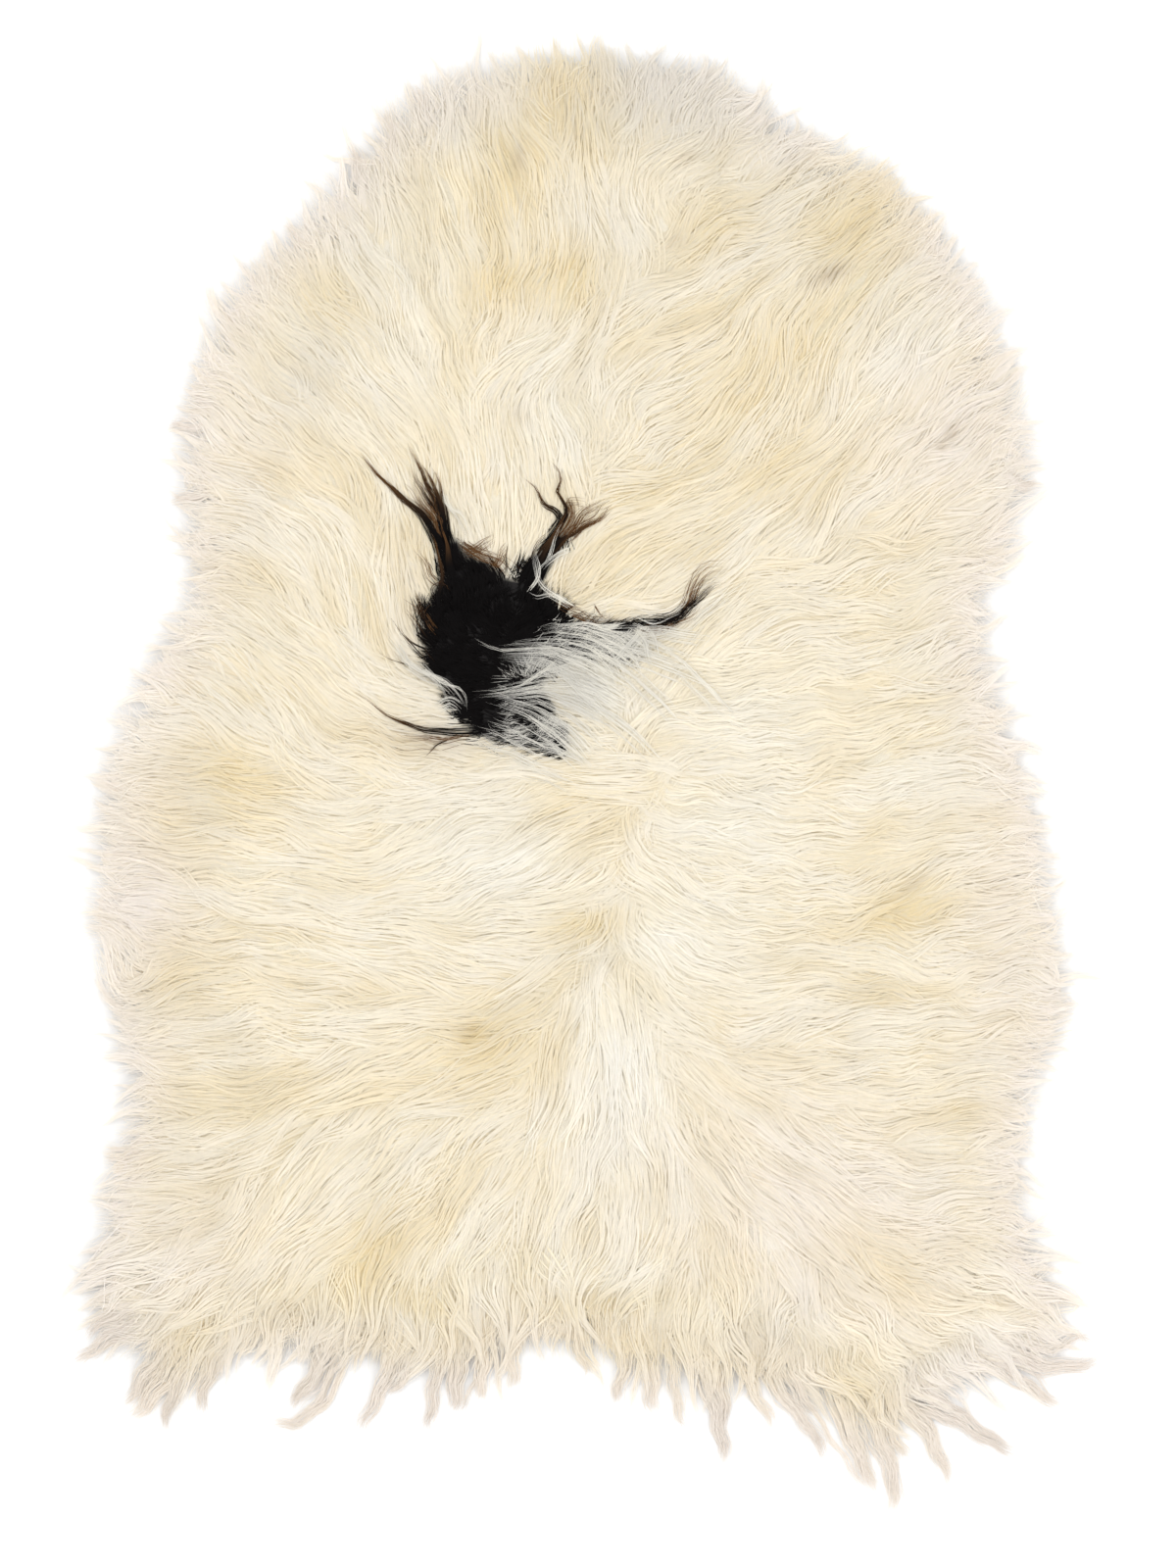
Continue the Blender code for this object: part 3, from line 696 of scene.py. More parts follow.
def comb(anchors, behind, ahead, turn, bend):
    """The paths of locks through their anchors, back to the root and on to the tip."""
    path = np.empty((len(anchors), PATH_STEPS + 1, 2))
    back, on = range(MIDDLE_STEP, 0, -1), range(MIDDLE_STEP, PATH_STEPS)
    for way, length, steps in ((-1, behind, back), (1, ahead, on)):
        path[:, MIDDLE_STEP] = anchors
        heading = None
        for step in steps:
            x, y = path[:, step, 0], path[:, step, 1]
            lay = np.arctan2(read_grid(lay_north, x, y), read_grid(lay_east, x, y))
            wanted = lay + turn + bend * (step - MIDDLE_STEP) / PATH_STEPS
            if heading is not None:
                swing = (wanted - heading + math.pi) % (2 * math.pi) - math.pi
                eased_swing = np.clip(swing, -MOST_SWING, MOST_SWING)
                wanted = heading + np.where(np.abs(swing) > OPPOSED, 0.0, eased_swing)
            heading = wanted
            ahead_of = np.column_stack((np.cos(heading), np.sin(heading)))
            path[:, step + way] = path[:, step] + way * length[:, None] / MIDDLE_STEP * ahead_of
    return path


def trim(path, ahead, past):
    """The length ahead of each anchor that keeps its tip no further past the rim than it may be."""
    tip, anchor = path[:, -1], path[:, MIDDLE_STEP]
    allowed = -past * read_grid(rim_reach, *tip.T)
    there, here = read_grid(from_rim, *tip.T), read_grid(from_rim, *anchor.T)
    share = (here - allowed) / np.maximum(here - there, 1e-4)
    return ahead * np.where(there < allowed, np.clip(share, 0.15, 1.0), 1.0)


def unit(vectors):
    """Vectors drawn out to a length of 1."""
    return vectors / (np.linalg.norm(vectors, axis=-1, keepdims=True) + 1e-9)


def follow(path, share):
    """Places at a share of the way along each lock's path, and the sideways direction there."""
    spot = np.clip(share, 0, 1) * PATH_STEPS
    step = np.minimum(spot.astype(int), PATH_STEPS - 1)
    lock = np.arange(len(path)).reshape((-1,) + (1,) * (share.ndim - 1))
    start, end = path[lock, step], path[lock, step + 1]
    way = unit(end - start)
    place = start + (end - start) * (spot - step)[..., None]
    return place, np.stack((-way[..., 1], way[..., 0]), axis=-1)


def smooth(t):
    """0 to 1 with soft ends."""
    t = np.clip(t, 0, 1)
    return t * t * (3 - 2 * t)


def hair_faces(rings):
    """The corners and map places of one hair's faces: a strip of fours that ends in a point."""
    left, right = MAP_EDGE, 1 - MAP_EDGE
    level = [left + (right - left) * ring / rings for ring in range(rings)]
    strip = []
    for ring, (low, high) in enumerate(zip(level, level[1:])):
        first = 2 * ring
        strip += [(first, left, low), (first + 1, right, low), (first + 3, right, high)]
        strip += [(first + 2, left, high)]
    end = 2 * rings
    point = [(end - 2, left, level[-1]), (end - 1, right, level[-1]), (end, 0.5, right)]
    return np.array(strip), np.array(point)


def map_squares(middle):
    """A square of the map for each hair, as its column and row, with neighbours close together."""
    count = len(middle)
    across = math.ceil(math.sqrt(count))
    row, column = np.empty(count, int), np.empty(count, int)
    row[np.argsort(middle[:, 1])] = np.arange(count) // across
    order = np.lexsort((middle[:, 0], row))
    column[order] = np.arange(count) - np.searchsorted(row[order], row[order])
    return np.column_stack((column, row))[:, None], across


def hair_piece(name, spines, widths, marks, seed, material, slot="wool"):
    """One mesh of flat tapered hairs, each with its own marks and its own place on the map."""
    count, stations, _ = spines.shape
    rings = stations - 1
    per_hair = rings * 2 + 1
    way = unit(np.gradient(spines, axis=1))
    right = unit(np.cross(way, (0.02, 0.01, 1.0)))
    rise = np.cross(right, way)
    lean = np.random.default_rng(seed).uniform(-HAIR_LEAN, HAIR_LEAN, (count, 1, 1))
    lean = np.radians(lean)
    half = (np.cos(lean) * right + np.sin(lean) * rise)[:, :rings] * widths[:, :rings, None] / 2
    edges = np.stack((spines[:, :rings] - half, spines[:, :rings] + half), axis=2)
    points = np.concatenate((edges.reshape(count, rings * 2, 3), spines[:, rings:]), axis=1)

    square, across = map_squares(spines[:, stations // 2])
    base = (np.arange(count) * per_hair)[:, None]
    faces = hair_faces(rings)
    loops = np.concatenate([(base + part[:, 0].astype(int)).ravel() for part in faces])
    places = np.concatenate([((square + part[:, 1:]) / across).reshape(-1, 2) for part in faces])
    sizes = np.repeat((4, 3), (count * (rings - 1), count))

    mesh = bpy.data.meshes.new(name)
    mesh.vertices.add(count * per_hair)
    mesh.vertices.foreach_set("co", points.astype(np.float32).ravel())
    mesh.loops.add(len(loops))
    mesh.loops.foreach_set("vertex_index", loops.astype(np.int32))
    mesh.polygons.add(len(sizes))
    mesh.polygons.foreach_set("loop_start", (np.cumsum(sizes) - sizes).astype(np.int32))
    mesh.update(calc_edges=True)
    mesh.shade_smooth()
    mesh.uv_layers.new(name="OFBake").data.foreach_set("uv", places.astype(np.float32).ravel())
    for key, values in marks.items():
        rows = np.broadcast_to(np.asarray(values).reshape(count, -1), (count, stations))
        rows = np.concatenate((np.repeat(rows[:, :rings], 2, axis=1), rows[:, rings:]), axis=1)
        mark(mesh, key, rows.ravel())
    mark_tints(mesh, points[..., 0].ravel(), points[..., 1].ravel())
    piece = add_object(name, mesh)
    mesh.materials.append(material)
    fit(piece)
    return piece


def coat(name, locks, build, material, slot="wool"):
    """A layer of long wool: for each lock, tufts of hairs that follow its path over the fleece."""
    rng = np.random.default_rng(build["seed"])
    count = len(locks["anchors"])
    tufts, hairs, segments = build["tufts"], build["hairs"], build["segments"]
    tuft_shape, hair_shape = (count, tufts, 1, 1), (count, tufts, hairs, 1)
    way = (locks["turn"], locks["bend"])
    path = comb(locks["anchors"], locks["behind"], locks["ahead"], *way)
    ahead = trim(path, locks["ahead"], locks["past"])
    path = comb(locks["anchors"], locks["behind"], ahead, *way)
    each = (locks[key][:, None, None, None] for key in ("width", "pinch", "depth", "lift"))
    width, pinch, deep, lift = each
    tuft = rng.uniform(-1, 1, tuft_shape)
    tuft_end = rng.uniform(build["shortest"], 1.0, tuft_shape)
    hair = rng.normal(0, 0.5, hair_shape)
    fan = rng.normal(0, 1.0, hair_shape)
    start = rng.uniform(0.0, 0.2, hair_shape)
    end = np.clip(tuft_end + rng.uniform(-0.12, 0.02, hair_shape), 0.3, 1.0)
    t = np.linspace(0, 1, segments + 1)
    share = start + (end - start) * t
    centre, side = follow(path, share)
    gather = 1 - pinch * smooth(t)
    across = tuft * width * gather
    across = across + hair * build["tuft_width"] * (1 - build["draw"] * smooth(t * 1.05))
    across = across + fan * build["fray"] * t**2
    x, y = centre[..., 0], centre[..., 1]
    phase = rng.normal(0, 0.5, (count, 1, 1, 1)) + rng.normal(0, 0.3, tuft_shape)
    phase = phase + rng.normal(0, 0.2, hair_shape) + read_grid(wave_phase, x, y)
    wave = read_grid(wave_height, x, y) * build["waviness"] * rng.uniform(0.6, 1.4, tuft_shape)
    across = across + wave * smooth(share * 2.5) * np.sin(phase)
    x, y = x + side[..., 0] * across, y + side[..., 1] * across

    sunk = build["root_depth"] * (1 - t) ** 4 + deep
    sunk = sunk + build["dome"] * (tuft**2 - 0.3) * gather
    sunk = sunk + build["under_patch"] * smooth(read_grid(in_patch, x, y) / PATCH_SINK + 0.6)
    lift = lift * t**2 + rng.uniform(0, build["loft"], hair_shape) * smooth(t * 3)
    floor = LOWEST + rng.uniform(0, LOW_SPREAD, hair_shape)
    z = np.maximum(read_grid(fleece_top, x, y) - sunk + lift, floor)
    spines = np.stack((x, y, z), axis=-1).reshape(-1, segments + 1, 3)
    widths = build["hair_width"] * np.interp(t, *COAT_TAPER)
    widths = widths * rng.uniform(0.75, 1.25, (len(spines), 1))
    # Painted shade: the deeper a hair lies under the top, the more of the root's colour it takes.
    depth = np.clip((sunk - lift) / FULL_SHADE, 0, 1) * np.ones(share.shape)
    marks = {
        "along": share.reshape(-1, segments + 1),
        "depth": depth.reshape(-1, segments + 1),
        "strand": rng.uniform(0, 1, len(spines)),
    }
    tone = locks["tone"][:, None] + rng.normal(0, 0.12, (count, tufts))
    marks["lock"] = np.repeat(np.clip(tone, 0, 1), hairs)
    marks["ink"] = rng.choice(build["ink"], len(spines))
    return hair_piece(name, spines, widths, marks, build["seed"], material, slot)


def lock_set(
    spacing, seed, least, length, width, depth, lift,
    turn=4.0, bend=9.0, line=rim_line, most=1.0, past=(-0.8, 1.1),
):
    """Locks spread evenly inside a line, each a little different in length, turn and height."""
    rng = np.random.default_rng(seed)
    anchors = scatter(spacing, LOCK_JITTER, seed, line, least, most)
    count = len(anchors)
    lengths = rng.uniform(*length, count)
    return {
        "anchors": anchors,
        "behind": lengths * BEHIND,
        "ahead": lengths * (1 - BEHIND),
        "past": rng.uniform(*past, count),
        "width": width * rng.uniform(0.7, 1.3, count),
        "depth": rng.uniform(*depth, count),
        "lift": rng.uniform(*lift, count),
        "pinch": rng.uniform(0.2, 0.8, count),
        "tone": rng.uniform(0, 1, count),
        "turn": np.radians(rng.normal(0, turn, count)),
        "bend": np.radians(rng.normal(0, bend, count)),
    }


long_wool, _, _ = wool_material("long_wool", CREAM, variation=0.08, sheen=0.3, through=0.5)
OUTER = {
    "tufts": 4, "hairs": 7, "segments": 9, "shortest": 0.6, "tuft_width": 0.0090,
    "fray": 0.003, "waviness": 1.0, "root_depth": 0.005, "dome": 0.0005, "loft": 0.0005,
    "hair_width": 0.0012, "draw": 0.4, "ink": (0.0,), "under_patch": 0.012,
}
GROUND = {
    **OUTER, "seed": 11, "hairs": 4, "segments": 4, "shortest": 0.75, "waviness": 0.8,
    "root_depth": 0.004, "dome": 0.0004, "loft": 0.0004, "hair_width": 0.0030, "draw": 0.3,
}
LOCK_SPREAD = 0.020  # how far a lock's tufts stand to each side of it
ground_locks = lock_set(
    spacing=0.0400, seed=21, least=0.002, length=(0.075, 0.105), width=LOCK_SPREAD,
    depth=(0.0012, 0.0018), lift=(-0.0005, 0.0),
)
coat_pieces = [coat("coat_ground", ground_locks, GROUND, long_wool)]
LAYERS = (  # segments, how deep the locks lie under the top, how their tips lift, their drawing in
    (7, (0.0008, 0.0014), (-0.0005, 0.0), 0.2), (7, (0.0004, 0.0010), (-0.0003, 0.0003), 0.3),
    (9, (0.0, 0.0006), (0.0, 0.0008), 0.45), (9, (-0.0006, 0.0002), (0.0, 0.0015), 0.6),
)
for layer, (segments, depth, lift, draw) in enumerate(LAYERS):
    build = {**OUTER, "seed": 41 + layer, "segments": segments, "draw": draw}
    locks = lock_set(
        spacing=0.0447, seed=31 + layer, least=0.002, length=(0.085, 0.125), width=LOCK_SPREAD,
        depth=depth, lift=lift,
    )
    coat_pieces.append(coat(f"coat_outer_{layer + 1}", locks, build, long_wool))

# ---------------------------------------------------------------- haze at the edge
# All round the rim the wool ends in loose fine hairs and small pointed wisps that reach a little
# past the locks and lie on the floor, so that the skin's edge is soft.

FAINT = {**CREAM, "Tip": (0.80, 0.765, 0.72, 1)}
haze_wool, _, _ = wool_material("fine_edge_wool", FAINT, variation=0.05, sheen=0.2, through=0.4)
HAZE = {
    "seed": 51, "tufts": 1, "hairs": 11, "segments": 5, "shortest": 0.5, "tuft_width": 0.010,
    "fray": 0.007, "waviness": 1.6, "root_depth": 0.004, "dome": 0.0, "loft": 0.004,
    "hair_width": 0.00045, "draw": 0.0, "ink": (0.0,), "under_patch": 0.0,
}
WISPS = {
    **HAZE, "seed": 53, "hairs": 12, "segments": 6, "shortest": 0.8, "tuft_width": 0.008,
    "fray": 0.001, "waviness": 1.8, "loft": 0.002, "hair_width": 0.0009, "draw": 0.9,
}
DRAWN = {
    **WISPS, "seed": 55, "hairs": 20, "segments": 7, "shortest": 0.7, "tuft_width": 0.016,
    "hair_width": 0.0010, "draw": 0.92,
}
HIND_EDGE = from_pixels((
    (85, 1325), (200, 1375), (330, 1385), (450, 1375), (600, 1345), (740, 1390), (850, 1420),
    (930, 1425), (1010, 1400), (1105, 1330), (1060, 1270), (930, 1350), (740, 1330), (600, 1290),
    (450, 1310), (330, 1330), (200, 1320), (120, 1260),
))
haze_locks = lock_set(
    spacing=0.0095, seed=52, least=-0.006, most=0.020, length=(0.050, 0.085), width=0.004,
    depth=(0.0, 0.006), lift=(-0.002, 0.002), turn=16.0, bend=30.0, past=(0.3, 1.8),
)
wisp_locks = lock_set(
    spacing=0.0190, seed=54, least=-0.006, most=0.016, length=(0.070, 0.110), width=0.004,
    depth=(0.0, 0.004), lift=(-0.001, 0.002), turn=14.0, bend=34.0, past=(0.9, 1.9),
)
drawn_locks = lock_set(
    spacing=0.0170, seed=56, least=0.0, line=HIND_EDGE, length=(0.100, 0.150), width=0.003,
    depth=(-0.002, 0.003), lift=(-0.003, 0.001), turn=14.0, bend=26.0, past=(0.8, 2.6),
)
coat_pieces += [
    coat("edge_haze", haze_locks, HAZE, haze_wool),
    coat("edge_wisps", wisp_locks, WISPS, haze_wool),
    coat("hind_locks", drawn_locks, DRAWN, haze_wool),
]

# ---------------------------------------------------------------- rim locks
# Where the skin ends the locks hang over its edge and come to rest on the floor. Over the hind
# legs and the tail they are long and drawn to points; round the neck they are short fine wisps.

RIM_LOCKS = (  # hairs, width at the root in mm, and the way in pixels of the photograph
    (48, 10, (160, 1345, 110, 1368, 66, 1402)), (32, 8, (160, 1330, 110, 1350, 78, 1376)),
    (80, 14, (190, 1355, 150, 1400, 120, 1445)), (92, 14, (200, 1365, 160, 1420, 127, 1461)),
    (92, 12, (206, 1370, 174, 1420, 160, 1470)), (60, 10, (226, 1370, 206, 1412, 197, 1452)),
    (92, 16, (345, 1365, 322, 1408, 292, 1448)),
    (60, 10, (350, 1385, 332, 1432, 302, 1459, 267, 1461)),
    (48, 8, (404, 1375, 388, 1418, 373, 1448, 362, 1472)),
    (60, 12, (424, 1380, 413, 1408, 395, 1432)),
    (52, 8, (450, 1380, 443, 1420, 437, 1453, 432, 1472)),
    (100, 16, (472, 1380, 469, 1416, 461, 1450)), (60, 12, (492, 1380, 491, 1408, 486, 1438)),
    (40, 8, (525, 1370, 521, 1400, 524, 1428)), (32, 8, (583, 1360, 592, 1388, 600, 1412)),
    (60, 12, (640, 1370, 635, 1405, 628, 1443)), (48, 10, (668, 1380, 667, 1415, 669, 1453)),
    (36, 6, (690, 1385, 691, 1430, 702, 1469)),
    (92, 15, (710, 1385, 727, 1430, 737, 1475, 743, 1507)),
    (60, 12, (735, 1390, 738, 1430, 742, 1465)),
    (48, 10, (755, 1380, 765, 1418, 781, 1446, 793, 1467)),
    (72, 12, (775, 1385, 800, 1430, 829, 1465, 849, 1501)),
    (40, 8, (800, 1390, 815, 1425, 836, 1452)),
    (120, 17, (850, 1415, 865, 1458, 884, 1503, 898, 1535)),
    (80, 10, (880, 1425, 898, 1478, 913, 1510, 915, 1559)),
    (48, 8, (900, 1435, 915, 1472, 930, 1500)),
    (80, 13, (900, 1430, 940, 1458, 960, 1493, 977, 1528)),
    (80, 12, (920, 1430, 975, 1453, 1010, 1475, 1046, 1496)),
    (60, 13, (1000, 1380, 1040, 1408, 1070, 1430, 1093, 1447)),
    (60, 12, (1010, 1370, 1058, 1396, 1095, 1400, 1135, 1391)),
    (32, 6, (1025, 1355, 1062, 1378, 1090, 1378, 1107, 1366, 1127, 1383)),
    (28, 8, (1040, 1306, 1075, 1324, 1102, 1330)), (40, 8, (215, 425, 190, 432, 165, 430)),
    (40, 8, (215, 495, 192, 507, 170, 505)), (40, 8, (1015, 480, 1042, 492, 1065, 490)),
    (40, 8, (150, 1180, 122, 1183, 100, 1190)), (44, 9, (412, 190, 400, 145, 397, 100)),
    (44, 9, (385, 205, 366, 170, 357, 140)), (44, 9, (445, 140, 432, 105, 422, 76)),
    (44, 9, (330, 260, 300, 238, 283, 225)),
)
ROUTE_STEPS = 24  # places on a route from one of its points to the next
ROUTE_WAVE = 0.03  # length of a wave
ROUTE_LOWEST, ROUTE_LOW_SPREAD = 0.001, 0.002  # over the floor
ROUTE_TAPER = (0, 0.2, 0.6, 0.85, 1.0), (0.8, 1.0, 0.85, 0.5, 0.1)  # as COAT_TAPER


def smooth_line(points):
    """A smooth line through a route's points, and how far along it each place is."""
    padded = np.vstack((2 * points[0] - points[1], points, 2 * points[-1] - points[-2]))
    last = len(points) - 2
    line = []
    for i in range(last + 1):
        t = np.linspace(0, 1, ROUTE_STEPS, endpoint=i == last)[:, None]
        line.append(spline(*padded[i:i + 4], t))
    line = np.vstack(line)
    steps = np.linalg.norm(np.diff(line, axis=0), axis=1)
    return line, np.concatenate(([0], np.cumsum(steps)))


def routed(rows, segments, seed):
    """Hairs along the routes of locks that the photograph shows one by one."""
    rng = np.random.default_rng(seed)
    t = np.linspace(0, 1, segments + 1)
    spines, widths = [], []
    marks = {key: [] for key in ("along", "depth", "strand", "lock", "ink", "rust")}
    for row in rows:
        line, steps = smooth_line(from_pixels(row["route"]))
        way = unit(np.gradient(line, axis=0))
        each = (row["hairs"], 1)
        strand = np.arange(row["hairs"]) % row["strands"]
        start = rng.uniform(0, row["stagger"], each)
        end = rng.uniform(row["shortest"], 1.0, each)
        share = start + (end - start) * t
        x, y, dx, dy = (np.interp(share * steps[-1], steps, v) for v in (*line.T, *way.T))
        place = rng.normal(0, 0.5, (row["strands"], 1))[strand]
        spread = row["tip"] + (row["root"] - row["tip"]) * (1 - share) ** row["taper"]
        across = place * spread + rng.normal(0, row["fray"], each) * share**2
        across = across + rng.normal(0, row["strand_width"] / 2, each)
        phase = rng.uniform(0, 2 * math.pi) + rng.normal(0, 0.5, (row["strands"], 1))[strand]
        turns = np.sin(2 * math.pi * share * steps[-1] / ROUTE_WAVE + phase)
        across = across + row["wave"] * smooth(share * 2) * turns
        x, y = x - dy * across, y + dx * across
        lift = row["low"] + (row["high"] - row["low"]) * share + rng.uniform(0, row["loft"], each)
        lift = lift - row["sunk"] * (1 - smooth(share * 4))
        lift = lift - 0.5 * np.abs(place) * row["loft"]
        floor = ROUTE_LOWEST + rng.uniform(0, ROUTE_LOW_SPREAD, each)
        z = np.maximum(read_grid(fleece_top, x, y) + lift, floor)
        spines.append(np.stack((x, y, z), axis=-1))
        widths.append(row["width"] * np.interp(t, *ROUTE_TAPER) * rng.uniform(0.7, 1.3, each))
        values = {
            "along": share,
            "depth": 0.0,
            "strand": rng.uniform(0, 1, each),
            "lock": rng.uniform(0, 1),
            "ink": np.clip(row["ink"] + rng.normal(0, row["mixed"], each), 0, 1),
            "rust": row["rust"] * smooth((share - row["rust_from"]) * 1.5),
        }
        for key, value in values.items():
            marks[key].append(np.broadcast_to(value, share.shape))
    marks = {key: np.vstack(values) for key, values in marks.items()}
    return np.vstack(spines), np.vstack(widths), marks


DULLED = {
    **CREAM, "Body": (0.84, 0.79, 0.71, 1), "Tip": (0.46, 0.40, 0.35, 1),
    "Blush": (0.83, 0.77, 0.71, 1),
}
drawn_wool, _, _ = wool_material("drawn_wool", DULLED, variation=0.12, sheen=0.2, through=0.3)
TAIL = {
    "strands": 9, "strand_width": 0.0024, "taper": 1.0, "stagger": 0.25, "shortest": 0.84,
    "tip": 0.0024, "fray": 0.0020, "wave": 0.0020, "low": -0.002, "high": -0.001, "loft": 0.004,
    "sunk": 0.006, "width": 0.0006, "ink": 0.0, "mixed": 0.0, "rust": 0.0, "rust_from": 0.0,
}
tail_rows = [
    {**TAIL, "hairs": hairs, "root": root / 1000, "route": way} for hairs, root, way in RIM_LOCKS
]
tails = routed(tail_rows, segments=6, seed=61)
coat_pieces.append(hair_piece("rim_locks", *tails, 62, drawn_wool))

# ---------------------------------------------------------------- black patch
# A mark of black wool behind the neck, as a spotted sheep has: short dense black hair with a few
# long pointed locks that have bleached brown at their tips, and silver hairs growing through it.

DARK = {**CREAM, "Ink": (0.006, 0.005, 0.005, 1), "Rust": (0.17, 0.085, 0.035, 1)}
dark_wool, _, shader = wool_material("dark_wool", DARK, variation=0.2, sheen=0.0, through=0.4)
settle(shader, Specular_IOR_Level=0.05)
SILVERED = {
    **CREAM, "Root": (0.88, 0.85, 0.76, 1), "Body": (0.73, 0.71, 0.65, 1),
    "Tip": (0.54, 0.53, 0.51, 1), "Blush": (0.80, 0.78, 0.75, 1),
    "Bleach": (0.84, 0.82, 0.77, 1), "Shade": (0.62, 0.60, 0.56, 1),
}
silver_wool, _, _ = wool_material("silver_wool", SILVERED, variation=0.1, sheen=0.1, through=0.3)
CORE = {
    **OUTER, "seed": 71, "tufts": 3, "hairs": 15, "segments": 5, "hair_width": 0.0006, "draw": 0.3,
    "ink": (1.0,), "under_patch": 0.0,
}
GREYING = {
    **CORE, "seed": 77, "hair_width": 0.00036, "ink": (0.0, 0.0, 0.3, 0.7, 1.0), "fray": 0.006,
    "tufts": 6, "hairs": 8, "draw": 0.1,
}
GREY_PLACES = from_pixels((
    (572, 646), (600, 643), (640, 642), (650, 656), (634, 680), (596, 668), (560, 672), (520, 702),
    (510, 714), (545, 728), (572, 748), (560, 764), (530, 760), (500, 752), (530, 735), (496, 716),
    (520, 690), (556, 664),
))
SPIKE = {
    "strands": 14, "strand_width": 0.0006, "taper": 1.8, "stagger": 0.3, "shortest": 0.4,
    "tip": 0.0006, "fray": 0.0005, "wave": 0.0006, "low": 0.001, "high": 0.002, "loft": 0.0015,
    "sunk": 0.004, "width": 0.00045, "ink": 1.0, "mixed": 0.0, "rust": 0.95, "rust_from": 0.3,
}
CURL = {**SPIKE, "strands": 8, "wave": 0.0003}
WISP = {**SPIKE, "strands": 3, "tip": 0.0008, "width": 0.0004}
SMOKE = {
    **SPIKE, "strands": 30, "taper": 1.0, "tip": 0.005, "fray": 0.002, "wave": 0.0012,
    "width": 0.00036, "rust_from": -0.3,
}
STREAK = {**SMOKE, "rust_from": 0.55, "fray": 0.0016, "tip": 0.003}
SILVER = {
    **SPIKE, "strand_width": 0.0016, "taper": 0.8, "shortest": 0.35, "stagger": 0.2, "fray": 0.001,
    "low": 0.002, "high": 0.003, "loft": 0.002, "sunk": 0.002, "width": 0.00034, "rust": 0.0,
    "ink": 0.0, "mixed": 0.08,
}
STRAND_HAIRS = 5  # silver hairs in each strand
